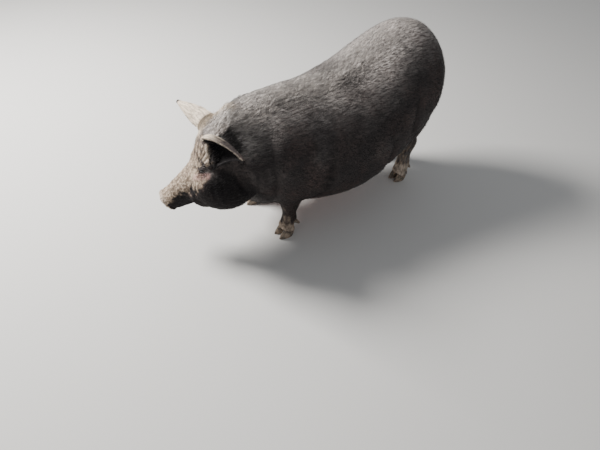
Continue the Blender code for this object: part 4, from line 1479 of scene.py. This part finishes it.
# ---- shader trees ------------------------------------------------------------------------------
def reckoning(operation, turned=False):
    """An operator that adds one Math node."""

    def method(self, other):
        pair = (other, self) if turned else (self, other)
        return self.tree.node("ShaderNodeMath", {"operation": operation}, pair)

    return method


class Wire:
    """A socket that can be reckoned with."""

    def __init__(self, tree, socket):
        self.tree, self.socket = tree, socket

    __add__ = __radd__ = reckoning("ADD")
    __mul__ = __rmul__ = reckoning("MULTIPLY")
    __sub__, __rsub__ = reckoning("SUBTRACT"), reckoning("SUBTRACT", turned=True)
    most = reckoning("MAXIMUM")

    def clear(self, low, high):
        """A soft step from 0 at low to 1 at high."""
        settings = {"interpolation_type": "SMOOTHSTEP"}
        return self.tree.node("ShaderNodeMapRange", settings, (self, low, high))


class Tree:
    """A node tree that is filled by one method."""

    def __init__(self, tree):
        self.tree = tree

    def node(self, kind, settings=None, inputs=(), output=0):
        """A node with its settings, then its inputs by order or by name, as one of its outputs."""
        made = self.tree.nodes.new(kind)
        for key, value in (settings or {}).items():
            setattr(made, key, value)
        pairs = inputs.items() if isinstance(inputs, dict) else enumerate(inputs)
        for key, value in pairs:
            if isinstance(value, Wire):
                self.tree.links.new(value.socket, made.inputs[key])
            elif value is not None:
                made.inputs[key].default_value = value
        return Wire(self, made.outputs[output])

    def mix(self, factor, first, second):
        """One colour over another."""
        first, second = (c if isinstance(c, Wire) else (*c, 1.0) for c in (first, second))
        return self.node(
            "ShaderNodeMix", {"data_type": "RGBA"}, {0: factor, 6: first, 7: second}, output=2
        )

    def attribute(self, name, output="Fac"):
        return self.node("ShaderNodeAttribute", {"attribute_name": name}, output=output)

    def stretched(self, vector, scale):
        """A vector scaled along each axis."""
        return self.node("ShaderNodeVectorMath", {"operation": "MULTIPLY"}, (vector, scale))

    def noise(self, vector, scale, detail=3.0, rough=0.55, warp=0.0):
        inputs = {"Vector": vector, "Scale": scale, "Detail": detail, "Roughness": rough}
        inputs["Distortion"] = warp
        return self.node("ShaderNodeTexNoise", {}, inputs, output=0)

    def cells(self, vector, scale, feature="DISTANCE_TO_EDGE", chance=1.0):
        inputs = {"Vector": vector, "Scale": scale, "Randomness": chance}
        return self.node("ShaderNodeTexVoronoi", {"feature": feature}, inputs, output="Distance")


def shade(tint, share):
    """A colour made darker or paler."""
    return tuple(np.minimum(np.array(tint) * share, 1.0))


def new_material(name):
    """A material with a Principled shader, its tree and the shader."""
    made = bpy.data.materials.new(name)
    made.use_nodes = True
    return made, Tree(made.node_tree), made.node_tree.nodes["Principled BSDF"]


PUPIL = (0.003, 0.003, 0.004)


def finish_shader(tree, shader, colour, rough, height, strength, distance):
    """Links colour, roughness and a bump into the shader."""
    settings = {"Height": height, "Strength": strength, "Distance": distance}
    bump = tree.node("ShaderNodeBump", {}, settings)
    links = tree.tree.links
    links.new(colour.socket, shader.inputs["Base Color"])
    if isinstance(rough, Wire):
        links.new(rough.socket, shader.inputs["Roughness"])
    else:
        shader.inputs["Roughness"].default_value = rough
    links.new(bump.socket, shader.inputs["Normal"])


def hair_streaks(tree, spot, face_spot, face, limb):
    """Fine streaks that run the way the hair lies, on the body, the head and the legs."""
    body = tree.noise(tree.stretched(spot, (26.0, 215.0, 215.0)), 1.0, 4.0, 0.66)
    head = tree.noise(tree.stretched(face_spot, (40.0, 260.0, 260.0)), 1.0, 4.0, 0.66)
    legs = tree.noise(tree.stretched(spot, (330.0, 330.0, 50.0)), 1.0, 3.0, 0.6)
    both = body * (1.0 - face) + head * face
    return both * (1.0 - limb) + legs * limb


def skin_material(settings):
    made, tree, shader = new_material("sow skin")
    spot = tree.node("ShaderNodeTexCoord", output="Object")
    names = ("dust_and_sunlight", "mud", "pink", "cream", "dark", "pale", "crease", "face", "limb", "leaf")
    dust_and_sunlight, mud, pink, cream, dark, pale, crease, face, limb, leaf = map(tree.attribute, names)
    streaks = hair_streaks(tree, spot, tree.attribute("head_place", "Vector"), face, limb)
    broad = tree.noise(spot, 9.0, 4.0, 0.6)
    patches = tree.noise(spot, 42.0, 5.0, 0.65, 0.4)
    clods = tree.noise(spot, 125.0, 4.0, 0.6, 0.3)
    grain = tree.noise(spot, 190.0, 4.0, 0.65)
    specks = tree.noise(spot, 420.0, 3.0, 0.7)
    wrinkles = tree.cells(tree.stretched(spot, (1.0, 1.5, 1.5)), 210.0)
    crackle = tree.cells(spot, 95.0)

    # bare skin, dust and painted sunlight on the hair, pink skin, cream ears
    slate, darkest_skin_and_shade = tuple(settings.slate), tuple(settings.darkest_skin_and_shade)
    skin = tree.mix(broad.clear(0.38, 0.66), slate, shade(slate, (1.7, 1.45, 1.35)))
    skin = tree.mix(grain.clear(0.6, 0.4) * 0.5, skin, darkest_skin_and_shade)
    # dust and painted sunlight, in streaks along the hair
    dusty_and_sunlit = dust_and_sunlight * (0.18 + 1.05 * streaks.clear(0.38, 0.6)) * (0.7 + 0.6 * patches)
    skin = tree.mix(dusty_and_sunlit, skin, tuple(settings.dust_and_sunlight))
    rosy = tree.mix(grain.clear(0.38, 0.62), tuple(settings.pink), shade(settings.pink, 0.5))
    skin = tree.mix(pink * patches.clear(0.34, 0.52), skin, rosy)
    pair = shade(settings.cream, 0.5), shade(settings.cream, 1.08)
    creamy = tree.mix(streaks.clear(0.36, 0.58), *pair)
    skin = tree.mix(cream * (0.72 + 0.35 * grain.clear(0.3, 0.6)), skin, creamy)

    # dried mud in clods, pale where it is thick, then painted shade in the dark places and in the
    # folds
    light = (patches * 0.35 + clods * 0.4 + specks * 0.35).clear(0.47, 0.64)
    earth = tree.mix(light, shade(settings.mud, 0.26), shade(settings.mud, 1.05))
    glint = (clods * 0.45 + specks * 0.55).clear(0.5, 0.64) * 0.7
    earth = tree.mix(glint.most(pale * streaks.clear(0.36, 0.56)), earth, tuple(settings.pale_mud))
    crust = (mud * 1.55 - patches * 0.65 - specks * 0.45 - grain * 0.25).clear(-0.22, 0.52)
    skin = tree.mix(crust * (0.95 - 0.55 * pink), skin, earth)
    # painted shade where the dark mark lies, over the black skin
    skin = tree.mix(dark * 0.95, skin, darkest_skin_and_shade)
    # painted shade in the creases and folds
    skin = tree.mix(crease * 0.78, skin, tree.mix(crust * 0.7, darkest_skin_and_shade, shade(settings.mud, 0.16)))

    rough = 0.64 + 0.22 * crust + 0.1 * dusty_and_sunlit + 0.14 * leaf + 0.2 * dark
    plain = (1.0 - crust) * (1.0 - leaf)
    height = streaks * 0.42 + grain * 0.22 + wrinkles.clear(0.0, 0.12) * 0.14 * plain
    lumps = 0.55 + 0.6 * specks + 0.3 * crackle.clear(0.0, 0.09)
    height = height + crust * lumps * (1.0 - leaf * 0.8)
    finish_shader(tree, shader, skin, rough, height, 0.55, 0.0016)
    shader.inputs["Specular IOR Level"].default_value = 0.14
    return made


def bristle_material(settings, skin):
    made, tree, shader = new_material("sow bristles")
    names = ("dust_and_sunlight", "mud", "pink", "cream", "dark", "pale", "face", "shade", "tip")
    dust_and_sunlight, mud, pink, cream, dark, pale, face, lot, tip = map(tree.attribute, names)
    spot = tree.node("ShaderNodeTexCoord", output="Object")
    locks = tree.noise(tree.stretched(spot, (18.0, 130.0, 130.0)), 1.0, 3.0, 0.62)
    locks = locks.clear(0.38, 0.6)
    root = (dust_and_sunlight.clear(0.1, 0.9) * (0.42 + 0.5 * locks)).most(face * dust_and_sunlight * 0.95)
    hair = tree.mix(root, tuple(settings.dark), shade(skin.dust_and_sunlight, 0.55))
    # painted sheen: paler bristles on the dusty, sunlit top and towards the tips
    sheen = (dust_and_sunlight * 1.45 + 0.03) * (0.35 + 0.65 * lot) * (0.55 + 0.45 * tip)
    hair = tree.mix(sheen * (0.48 + 0.8 * locks), hair, tuple(settings.light))
    muddy = (mud * 1.15 - 0.05).most(0.0) * (0.62 + 0.38 * lot)
    for share, tint in (
        (muddy.clear(0.0, 0.9), shade(skin.mud, 0.8)),
        (pale * 0.6, shade(skin.pale_mud, 0.85)),
        (cream * 0.9, shade(skin.cream, 0.9)),
        (pink * 0.35, shade(skin.pink, 0.8)),
        # painted shade on the bristles where the skin carries it
        (dark * 0.94, tuple(skin.darkest_skin_and_shade)),
    ):
        hair = tree.mix(share, hair, tint)
    tree.tree.links.new(hair.socket, shader.inputs["Base Color"])
    shader.inputs["Roughness"].default_value = 0.4
    shader.inputs["Specular IOR Level"].default_value = 0.45
    return made


def horn_material(settings, skin):
    made, tree, shader = new_material("sow hooves")
    spot = tree.node("ShaderNodeTexCoord", output="Object")
    grain = tree.noise(tree.stretched(spot, (1.0, 1.0, 0.35)), 260.0, 4.0, 0.6)
    patches = tree.noise(spot, 70.0, 4.0, 0.6)
    rings = tree.noise(tree.stretched(spot, (12.0, 12.0, 420.0)), 1.0, 2.0, 0.5)
    shell = tree.mix(rings.clear(0.35, 0.65), shade(settings.horn, 0.55), tuple(settings.horn))
    crust = (patches * 0.8 + grain * 0.5).clear(0.55, 0.8)
    shell = tree.mix(crust * 0.75, shell, tuple(skin.mud))
    height = rings * 0.4 + grain * 0.4 + crust * 0.5
    finish_shader(tree, shader, shell, 0.48 + 0.35 * crust, height, 0.4, 0.001)
    return made


def eye_material(settings):
    made, tree, shader = new_material("sow eyes")
    gaze = tree.attribute("gaze")
    spot = tree.node("ShaderNodeTexCoord", output="Object")
    fibres = tree.noise(spot, 900.0, 2.0, 0.6).clear(0.35, 0.65)
    ringed = tree.mix(fibres, shade(settings.iris, 0.45), tuple(settings.iris))
    ball = tree.mix(gaze.clear(0.775, 0.745), ringed, tuple(settings.white))
    ball = tree.mix(gaze.clear(0.925, 0.945), ball, PUPIL)
    tree.tree.links.new(ball.socket, shader.inputs["Base Color"])
    shader.inputs["Roughness"].default_value = 0.12
    shader.inputs["Coat Weight"].default_value = 0.4
    shader.inputs["Coat Roughness"].default_value = 0.03
    return made


# ---- the coat ----------------------------------------------------------------------------------
BRISTLES = (  # turn in degrees, length, sideways start, in each kind of tuft
    ((-13.0, 0.82, 0.06), (2.0, 1.0, 0.0), (12.0, 0.88, -0.07)),
    ((-8.0, 1.0, 0.05), (6.0, 0.78, -0.03), (17.0, 0.92, -0.08)),
    ((-18.0, 0.74, 0.08), (-4.0, 0.95, 0.02), (9.0, 0.86, -0.05)),
)
RISE = (-0.03, 0.47, -0.34)  # height of a bristle along its length, as shares of the length
JITTER = 0.16


def tuft_tree():
    """Tufts of bent bristles spread over a skin by the attributes it carries."""
    group = bpy.data.node_groups.new("Bristle tufts", "GeometryNodeTree")
    face = group.interface
    sockets = (
        ("Skin", "Geometry"), ("Tufts", "Float"), ("Thickness", "Float"),
        ("Seed", "Int"), ("Finish", "Material"),
    )
    for name, kind in sockets:
        face.new_socket(name, in_out="INPUT", socket_type=f"NodeSocket{kind}")
    face.new_socket("Coat", in_out="OUTPUT", socket_type="NodeSocketGeometry")
    tree = Tree(group)
    start = group.nodes.new("NodeGroupInput")
    skin, tufts, thickness, seed, finish = (Wire(tree, start.outputs[name]) for name, _ in sockets)

    def stored(mesh, name, kind, value):
        settings = {"data_type": kind, "domain": "POINT"}
        inputs = {"Geometry": mesh, "Name": name, "Value": value}
        return tree.node("GeometryNodeStoreNamedAttribute", settings, inputs)

    def named(name, kind):
        return tree.node("GeometryNodeInputNamedAttribute", {"data_type": kind}, {"Name": name})

    def random(low, high, kind="FLOAT", offset=0):
        keys = {"FLOAT": (2, 3, 1), "FLOAT_VECTOR": (0, 1, 0), "INT": (4, 5, 2)}[kind]
        inputs = {keys[0]: low, keys[1]: high, "Seed": seed + offset}
        return tree.node("FunctionNodeRandomValue", {"data_type": kind}, inputs, output=keys[2])

    sides = {"Vertices": 3, "Side Segments": 2, "Depth": 1.0}
    sides |= {"Radius Top": 0.0, "Radius Bottom": 1.0}
    spike = tree.node("GeometryNodeMeshCone", {"fill_type": "NGON"}, sides)
    where = tree.node("GeometryNodeInputPosition")
    parts = tree.node("ShaderNodeSeparateXYZ", {}, (where,))
    x, y, z = (Wire(tree, parts.socket.node.outputs[i]) for i in range(3))
    spike = stored(spike, "tip", "FLOAT", z)
    rise = RISE[0] + RISE[1] * z + RISE[2] * z * z
    bent = tree.node("ShaderNodeCombineXYZ", {}, (z, y * thickness, x * thickness + rise))
    bristle = tree.node("GeometryNodeSetPosition", {}, {"Geometry": spike, "Position": bent})
    kinds = group.nodes.new("GeometryNodeGeometryToInstance")
    for bristles in BRISTLES:
        tuft = group.nodes.new("GeometryNodeJoinGeometry")
        for turn, size, aside in bristles:
            inputs = {
                "Geometry": bristle,
                "Translation": (0.02 * size, aside, 0.0),
                "Rotation": (0.0, 0.0, math.radians(turn)),
                "Scale": (size, 1.0, size),
            }
            one = tree.node("GeometryNodeTransform", {}, inputs)
            group.links.new(one.socket, tuft.inputs[0])
        group.links.new(tuft.outputs[0], kinds.inputs[0])

    dense = named("coat_thick", "FLOAT") * named("coat_share", "FLOAT") * tufts
    settings = {"distribute_method": "RANDOM"}
    inputs = {"Mesh": skin, "Density": dense, "Seed": seed}
    roots = tree.node("GeometryNodeDistributePointsOnFaces", settings, inputs)
    normal = Wire(tree, roots.socket.node.outputs["Normal"])
    roots = stored(roots, "root", "FLOAT_VECTOR", tree.node("GeometryNodeInputPosition"))
    roots = stored(roots, "shade", "FLOAT", random(0.0, 1.0, offset=3))
    wild = random((-JITTER,) * 3, (JITTER,) * 3, "FLOAT_VECTOR", 5)
    adding = {"operation": "ADD"}
    flow = tree.node("ShaderNodeVectorMath", adding, (named("flow", "FLOAT_VECTOR"), wild))
    up = random((-JITTER * 0.5,) * 3, (JITTER * 0.5,) * 3, "FLOAT_VECTOR", 6)
    up = tree.node("ShaderNodeVectorMath", adding, (normal, up))
    axes = {"primary_axis": "Z", "secondary_axis": "X"}
    turned = tree.node("FunctionNodeAxesToRotation", axes, (up, flow))
    size = named("coat_length", "FLOAT") * random(0.72, 1.22, offset=8)
    scale = (size, size, size * named("coat_rise", "FLOAT"))
    size = tree.node("ShaderNodeCombineXYZ", {}, scale)
    inputs = {
        "Points": roots,
        "Instance": Wire(tree, kinds.outputs[0]),
        "Pick Instance": True,
        "Instance Index": random(0, len(BRISTLES) - 1, "INT", 11),
        "Rotation": turned,
        "Scale": size,
    }
    tufted = tree.node("GeometryNodeInstanceOnPoints", {}, inputs)
    real = tree.node("GeometryNodeRealizeInstances", {}, {"Geometry": tufted})
    coat = tree.node("GeometryNodeSetMaterial", {}, {"Geometry": real, "Material": finish})
    end = group.nodes.new("NodeGroupOutput")
    group.links.new(coat.socket, end.inputs[0])
    return group


COAT_ZONES = (
    "ham_left", "ham_right", "barrel_left", "barrel_right", "shoulder_left", "shoulder_right",
    "neck", "head_left", "head_right", "ears", "forelegs", "hindlegs",
)
ZONE_OF = {name: i for i, name in enumerate(COAT_ZONES)}


def zone_of(points):
    """The number of the coat zone each point is in."""
    ahead, side = -points[:, 0], -points[:, 1]
    _, left, _ = head_places(points)
    zone = np.digitize(ahead, (0.26, 0.56, 0.76)) * 2 + (side < 0)
    zone = np.where(zone >= ZONE_OF["neck"], ZONE_OF["neck"], zone)
    zone = np.where(head_weight(points) > 0.35, ZONE_OF["head_left"] + (left < 0), zone)
    ears = ear_weights(points)
    ear = np.maximum(ears["left"][0], ears["right"][0]) > 0.5
    limb = (leg_weights(points) > 0.4) | (tail_weights(points)[0] > 0.5)
    limb &= zone < ZONE_OF["head_left"]
    zone = np.where(limb, np.where(ahead > 0.4, ZONE_OF["forelegs"], ZONE_OF["hindlegs"]), zone)
    return np.where(ear, ZONE_OF["ears"], zone)


def skin_unwrap(points):
    """A place from 0 to 1 for each point on a flat layout of the skin's own shape."""
    share, left, up = head_places(points)
    zone = zone_of(points)
    turn = np.arctan2(-points[:, 1], points[:, 2] - 0.3) / (2 * math.pi) + 0.5
    u = 0.02 + 0.6 * np.clip(-points[:, 0] + 0.04, 0, 1.0)
    v = 0.02 + 0.56 * turn
    spin = np.arctan2(left, up) / (2 * math.pi) + 0.5
    face = (zone == ZONE_OF["head_left"]) | (zone == ZONE_OF["head_right"])
    ear, limb = zone == ZONE_OF["ears"], zone >= ZONE_OF["forelegs"]
    u = np.where(face, 0.69 + 0.27 * np.clip(share, -0.2, 1.1) / 1.1, u)
    v = np.where(face, 0.02 + 0.56 * spin, v)
    along_ear = 0.9 * np.clip(0.2 - share * HEAD_LENGTH, 0, 0.25)
    u = np.where(ear, np.where(left > 0, 0.03, 0.28) + along_ear, u)
    v = np.where(ear, 0.62 + 0.9 * np.clip(np.abs(left), 0.0, 0.25), v)
    which = (-points[:, 0] > 0.4) * 2 + (points[:, 1] > 0)
    tail = tail_weights(points)[0] > 0.5
    which = np.where(tail, 4, which)
    centre_x = np.where(-points[:, 0] > 0.4, -0.68, -0.13)
    centre_y = np.where(points[:, 1] > 0, 0.1, -0.1)
    centre_x = np.where(tail, 0.022, centre_x)
    centre_y = np.where(tail, 0.0, centre_y)
    round_leg = np.arctan2(points[:, 1] - centre_y, points[:, 0] - centre_x) / (2 * math.pi) + 0.5
    u = np.where(limb, 0.53 + 0.09 * which + 0.08 * round_leg, u)
    v = np.where(limb, 0.62 + 0.34 * np.clip(points[:, 2] / 0.5, 0, 1), v)
    return np.stack([u, v], axis=1)


def bake_map(mesh):
    """The map that holds each tuft as a small patch at its root's place on the skin."""
    roots = read_vector(mesh, "root").astype(float)
    _, first, back = np.unique(roots.round(6), axis=0, return_index=True, return_inverse=True)
    flat = skin_unwrap(roots[first])[back.ravel()]
    offset = points_of(mesh) - roots
    size = np.maximum(np.abs(offset).max(), 1e-6)
    local = np.stack([offset[:, 0] + offset[:, 2] * 0.5, offset[:, 1] - offset[:, 2] * 0.5], axis=1)
    flat = np.clip(flat + 0.0015 * local / size, 0.0, 1.0)
    corners = np.empty(len(mesh.loops), np.int32)
    mesh.loops.foreach_get("vertex_index", corners)
    layer = mesh.uv_layers.new(name="OFBake")
    layer.data.foreach_set("uv", flat[corners].astype(np.float32).ravel())


def socket_of(group, name):
    """The identifier of a node group's input."""
    for item in group.interface.items_tree:
        if item.item_type == "SOCKET" and item.in_out == "INPUT" and item.name == name:
            return item.identifier
    raise KeyError(name)


def coat_piece(zone, zones, skin, group, settings, material):
    """The bristles of one zone as a plain mesh."""
    base = skin.data.copy()
    bed = linked(base, "bed")
    keep_number(base, "coat_share", zones == zone)
    modifier = bed.modifiers.new("Tufts", "NODES")
    modifier.node_group = group
    tufts = settings.tufts * 1.0
    for name, value in (
        ("Tufts", tufts), ("Thickness", settings.thickness),
        ("Seed", settings.seed + zone * 31), ("Finish", material),
    ):
        modifier[socket_of(group, name)] = value
    mesh = evaluated_mesh(bed)
    bed.modifiers.clear()
    bpy.data.objects.remove(bed, do_unlink=True)
    bake_map(mesh)
    low, high = (np.array(corner, float) - np.array(SETTLE) for corner in CAD_BOX)
    move_points(mesh, np.clip(points_of(mesh), low, high))
    beds = ("flow", "root", "coat_length", "coat_rise", "coat_thick", "coat_share", "head_place")
    for name in beds:
        if name in mesh.attributes:
            mesh.attributes.remove(mesh.attributes[name])
    return linked(mesh, f"bristles_{COAT_ZONES[zone]}")


# ---- eyes and hooves ----------------------------------------------------------------------------
def eyeball(name, sign, settings):
    """A ball with a slight cornea; it keeps how near each point is to the line of sight."""
    front, _, out = eye_axes(sign)
    gaze = unit((out + front * 0.12)[None])[0]
    work = bmesh.new()
    bmesh.ops.create_icosphere(work, subdivisions=5, radius=1.0)
    mesh = bpy.data.meshes.new(name)
    work.to_mesh(mesh)
    work.free()
    points = points_of(mesh)
    near = points @ gaze
    radius = settings.radius * (1 + 0.035 * step(near, 0.74, 0.86))
    move_points(mesh, points * radius[:, None] + np.array(eye_centre(sign)))
    keep_number(mesh, "gaze", near)
    return linked(mesh, name)


def claw(name, foot, sign, side, ring):
    """One main claw: flat sole, sloping toe, growth rings and a rounded lower edge."""
    rings, segments = CLAW_GRID
    keys = [row[0] for row in CLAW_SECTIONS]
    heights = np.concatenate([[0.0, 0.0004], np.linspace(CLAW_EDGE, keys[-1], rings - 2)])
    points = []
    for up, shift, long, wide in smooth_rows(keys, CLAW_SECTIONS, heights):
        inset = CLAW_EDGE * (1 - math.sqrt(max(1 - (1 - min(up / CLAW_EDGE, 1)) ** 2, 0)))
        worn = 0.00035 * math.sin(2 * math.pi * up / ring) * min(up / 0.004, 1)
        for k in range(segments):
            angle = 2 * math.pi * k / segments
            rough = 0.0003 * noise.noise(Vector((k * 0.4, up * 300, sign + side * 2.0)))
            grow = worn + rough - inset - 0.0002
            ahead = foot.ahead + shift + (long + grow) * math.cos(angle)
            narrow = 1 - CLAW_POINT * math.cos(angle)
            across = (wide + grow) * math.sin(angle) * narrow
            points.append(place(ahead, sign * foot.left + side * CLAW_ASIDE + across, up))
    return mesh_object(name, points, ring_faces(rings, segments))


def dewclaw(name, joints, sign, side):
    """A small rounded claw behind the fetlock."""
    fetlock = joints[5]
    behind, aside, below = DEWCLAW_ROOT
    root = place(fetlock.ahead - behind, sign * fetlock.left + side * aside, fetlock.up - below)
    tip = root + place(-DEWCLAW_BACK, 0.0, -DEWCLAW_LENGTH)
    spin = (tip - root).normalized().to_track_quat("Z", "Y").to_matrix()
    rings, segments = DEWCLAW_GRID
    points = []
    for i in range(rings):
        t = i / (rings - 1)
        taper = 1 - (1 - DEWCLAW_TAPER) * t
        dome = max((t - 0.72) / 0.28, 0) ** 2 * 0.85
        radius = DEWCLAW_RADIUS * taper * math.sqrt(max(1 - dome, 0))
        radius += 0.0002 * math.sin(t * 26)
        for k in range(segments):
            angle = 2 * math.pi * k / segments
            local = Vector((radius * math.cos(angle), radius * math.sin(angle), 0.0))
            points.append(root.lerp(tip, t) + spin @ local)
    return mesh_object(name, points, ring_faces(rings, segments))


# ---- operators ---------------------------------------------------------------------------------
class SOW_OT_skin(bpy.types.Operator):
    """Makes the sow's one skin, with its lids, folds, snout and udder"""

    bl_idname = "sow.skin"
    bl_label = "Skin"

    def execute(self, context):
        settings = context.scene.sow_skin
        skin = bare_skin(settings)
        clay = Clay(skin.data)
        press_folds(clay)
        vein_ears(clay)
        ring_legs(clay)
        shape_snout(clay)
        roughen(clay)
        open_eyes(clay)
        mark_skin(clay)
        skin.name = "skin"
        finished(skin, skin_material(settings))
        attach(skin, "root")
        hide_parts(*SKIN_NODES)
        return {"FINISHED"}


class SOW_OT_coat(bpy.types.Operator):
    """Sets the bristles on the skin, zone by zone"""

    bl_idname = "sow.coat"
    bl_label = "Bristles"

    def execute(self, context):
        settings = context.scene.sow_coat
        skin = bpy.data.objects["skin"]
        skin.data.transform(Matrix.Translation(-SETTLE))
        zones = zone_of(points_of(skin.data))
        group = tuft_tree()
        material = bristle_material(settings, context.scene.sow_skin)
        for zone in range(len(COAT_ZONES)):
            piece = coat_piece(zone, zones, skin, group, settings, material)
            finished(piece, material)
            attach(piece, "root")
        skin.data.transform(Matrix.Translation(SETTLE))
        return {"FINISHED"}


class SOW_OT_eyes(bpy.types.Operator):
    """Sets both eyeballs behind their lids"""

    bl_idname = "sow.eyes"
    bl_label = "Eyes"

    def execute(self, context):
        settings = context.scene.sow_eyes
        material = eye_material(settings)
        for side, sign in SIDES.items():
            eye = finished(eyeball(f"eyeball_{side}", sign, settings), material)
            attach(eye, "root")
            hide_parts(f"eye_{side}")
        return {"FINISHED"}


class SOW_OT_hooves(bpy.types.Operator):
    """Makes the main claws and the dewclaws of every foot"""

    bl_idname = "sow.hooves"
    bl_label = "Hooves"

    def execute(self, context):
        settings = context.scene.sow_feet
        material = horn_material(settings, context.scene.sow_skin)
        for which, joints in LEGS.items():
            for side, sign in SIDES.items():
                for where, outward in (("outer", sign), ("inner", -sign)):
                    name = f"{which}_{side}_{where}"
                    main = claw(f"claw_{name}", joints[-2], sign, outward, settings.ring)
                    back = dewclaw(f"back_claw_{name}", joints, sign, outward)
                    for made, node in ((main, f"hoof_{name}"), (back, f"dewclaw_{name}")):
                        finished(made, material)
                        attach(made, "root")
                        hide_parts(node)
        return {"FINISHED"}


CAMERA_PLACE = (-0.962, -1.119, 1.234)
CAMERA_RIGHT = (0.80171, -0.59443, 0.06249)
CAMERA_AHEAD = (0.47, 0.561, -0.682)
LENS = 30.0
SENSOR = 36.0
FLOOR_HALF = 7
KEY_PLACE, KEY_AIM, KEY_SIZE = (-1.35, 1.65, 2.0), (0.0, 0.0, 0.3), 0.9
KEY_TINT = (1.0, 0.98, 0.95)
FILL_PLACE, FILL_AIM, FILL_SIZE = (-2.2, -2.2, 1.6), (0.0, 0.0, 0.25), 2.5
SKY_TINT = (0.93, 0.96, 1.0)


def light(name, where, at, size, power, tint=(1.0, 1.0, 1.0)):
    """A large soft lamp turned to a place."""
    lamp = bpy.data.lights.new(name, "AREA")
    lamp.energy = power
    lamp.size = size
    lamp.color = tint
    made = bpy.data.objects.new(name, lamp)
    bpy.context.scene.collection.objects.link(made)
    made.location = where
    made.rotation_euler = (Vector(at) - Vector(where)).to_track_quat("-Z", "Y").to_euler()
    return made


class SOW_OT_stage(bpy.types.Operator):
    """Lays the floor and sets the lights and the camera"""

    bl_idname = "sow.stage"
    bl_label = "Stage"

    def execute(self, context):
        settings = context.scene.sow_stage
        reach = FLOOR_HALF
        corners = [(-reach, -reach, 0), (reach, -reach, 0), (reach, reach, 0), (-reach, reach, 0)]
        floor = mesh_object("floor", corners, [(0, 1, 2, 3)])
        paint, _, shader = new_material("floor paint")
        shader.inputs["Base Color"].default_value = (*settings.floor, 1.0)
        shader.inputs["Roughness"].default_value = 0.85
        floor.data.materials.append(paint)
        light("key", KEY_PLACE, KEY_AIM, KEY_SIZE, settings.key, KEY_TINT)
        light("fill", FILL_PLACE, FILL_AIM, FILL_SIZE, settings.fill)
        world = bpy.data.worlds.new("air")
        world.use_nodes = True
        sky = world.node_tree.nodes["Background"]
        sky.inputs[0].default_value = (*SKY_TINT, 1.0)
        sky.inputs[1].default_value = settings.air
        context.scene.world = world
        ahead = Vector(CAMERA_AHEAD).normalized()
        right = Vector(CAMERA_RIGHT)
        right = (right - ahead * right.dot(ahead)).normalized()
        up = right.cross(ahead)
        camera = bpy.data.objects.new("camera", bpy.data.cameras.new("camera"))
        context.scene.collection.objects.link(camera)
        camera.matrix_world = Matrix.Translation(CAMERA_PLACE) @ Matrix(
            (right, up, -ahead)
        ).transposed().to_4x4()
        camera.data.lens = LENS
        camera.data.sensor_width = SENSOR
        context.scene.camera = camera
        return {"FINISHED"}


class SOW_PT_panel(bpy.types.Panel):
    """Lists the sow's pieces"""

    bl_label = "Black sow"
    bl_idname = "SOW_PT_panel"
    bl_space_type = "VIEW_3D"
    bl_region_type = "UI"
    bl_category = "Sow"

    def draw(self, context):
        for made in OPERATORS:
            self.layout.operator(made.bl_idname)
        for name, _ in SETTINGS:
            box = self.layout.box()
            group = getattr(context.scene, name)
            for key in group.bl_rna.properties.keys():
                if key not in ("rna_type", "name"):
                    box.prop(group, key)


SETTINGS = (
    ("sow_skin", SowSkinSettings),
    ("sow_coat", SowCoatSettings),
    ("sow_eyes", SowEyeSettings),
    ("sow_feet", SowFootSettings),
    ("sow_stage", SowStageSettings),
)
OPERATORS = (SOW_OT_skin, SOW_OT_coat, SOW_OT_eyes, SOW_OT_hooves, SOW_OT_stage)


def register():
    for name, kind in SETTINGS:
        bpy.utils.register_class(kind)
        setattr(bpy.types.Scene, name, PointerProperty(type=kind))
    for kind in (*OPERATORS, SOW_PT_panel):
        bpy.utils.register_class(kind)


def unregister():
    for kind in (SOW_PT_panel, *OPERATORS):
        bpy.utils.unregister_class(kind)
    for name, kind in SETTINGS:
        delattr(bpy.types.Scene, name)
        bpy.utils.unregister_class(kind)


def plain(box):
    return [[float(value) for value in corner] for corner in box]


def main():
    register()
    for made in OPERATORS:
        getattr(bpy.ops.sow, made.bl_idname.split(".")[1])()
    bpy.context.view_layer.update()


if __name__ == "__main__":
    main()
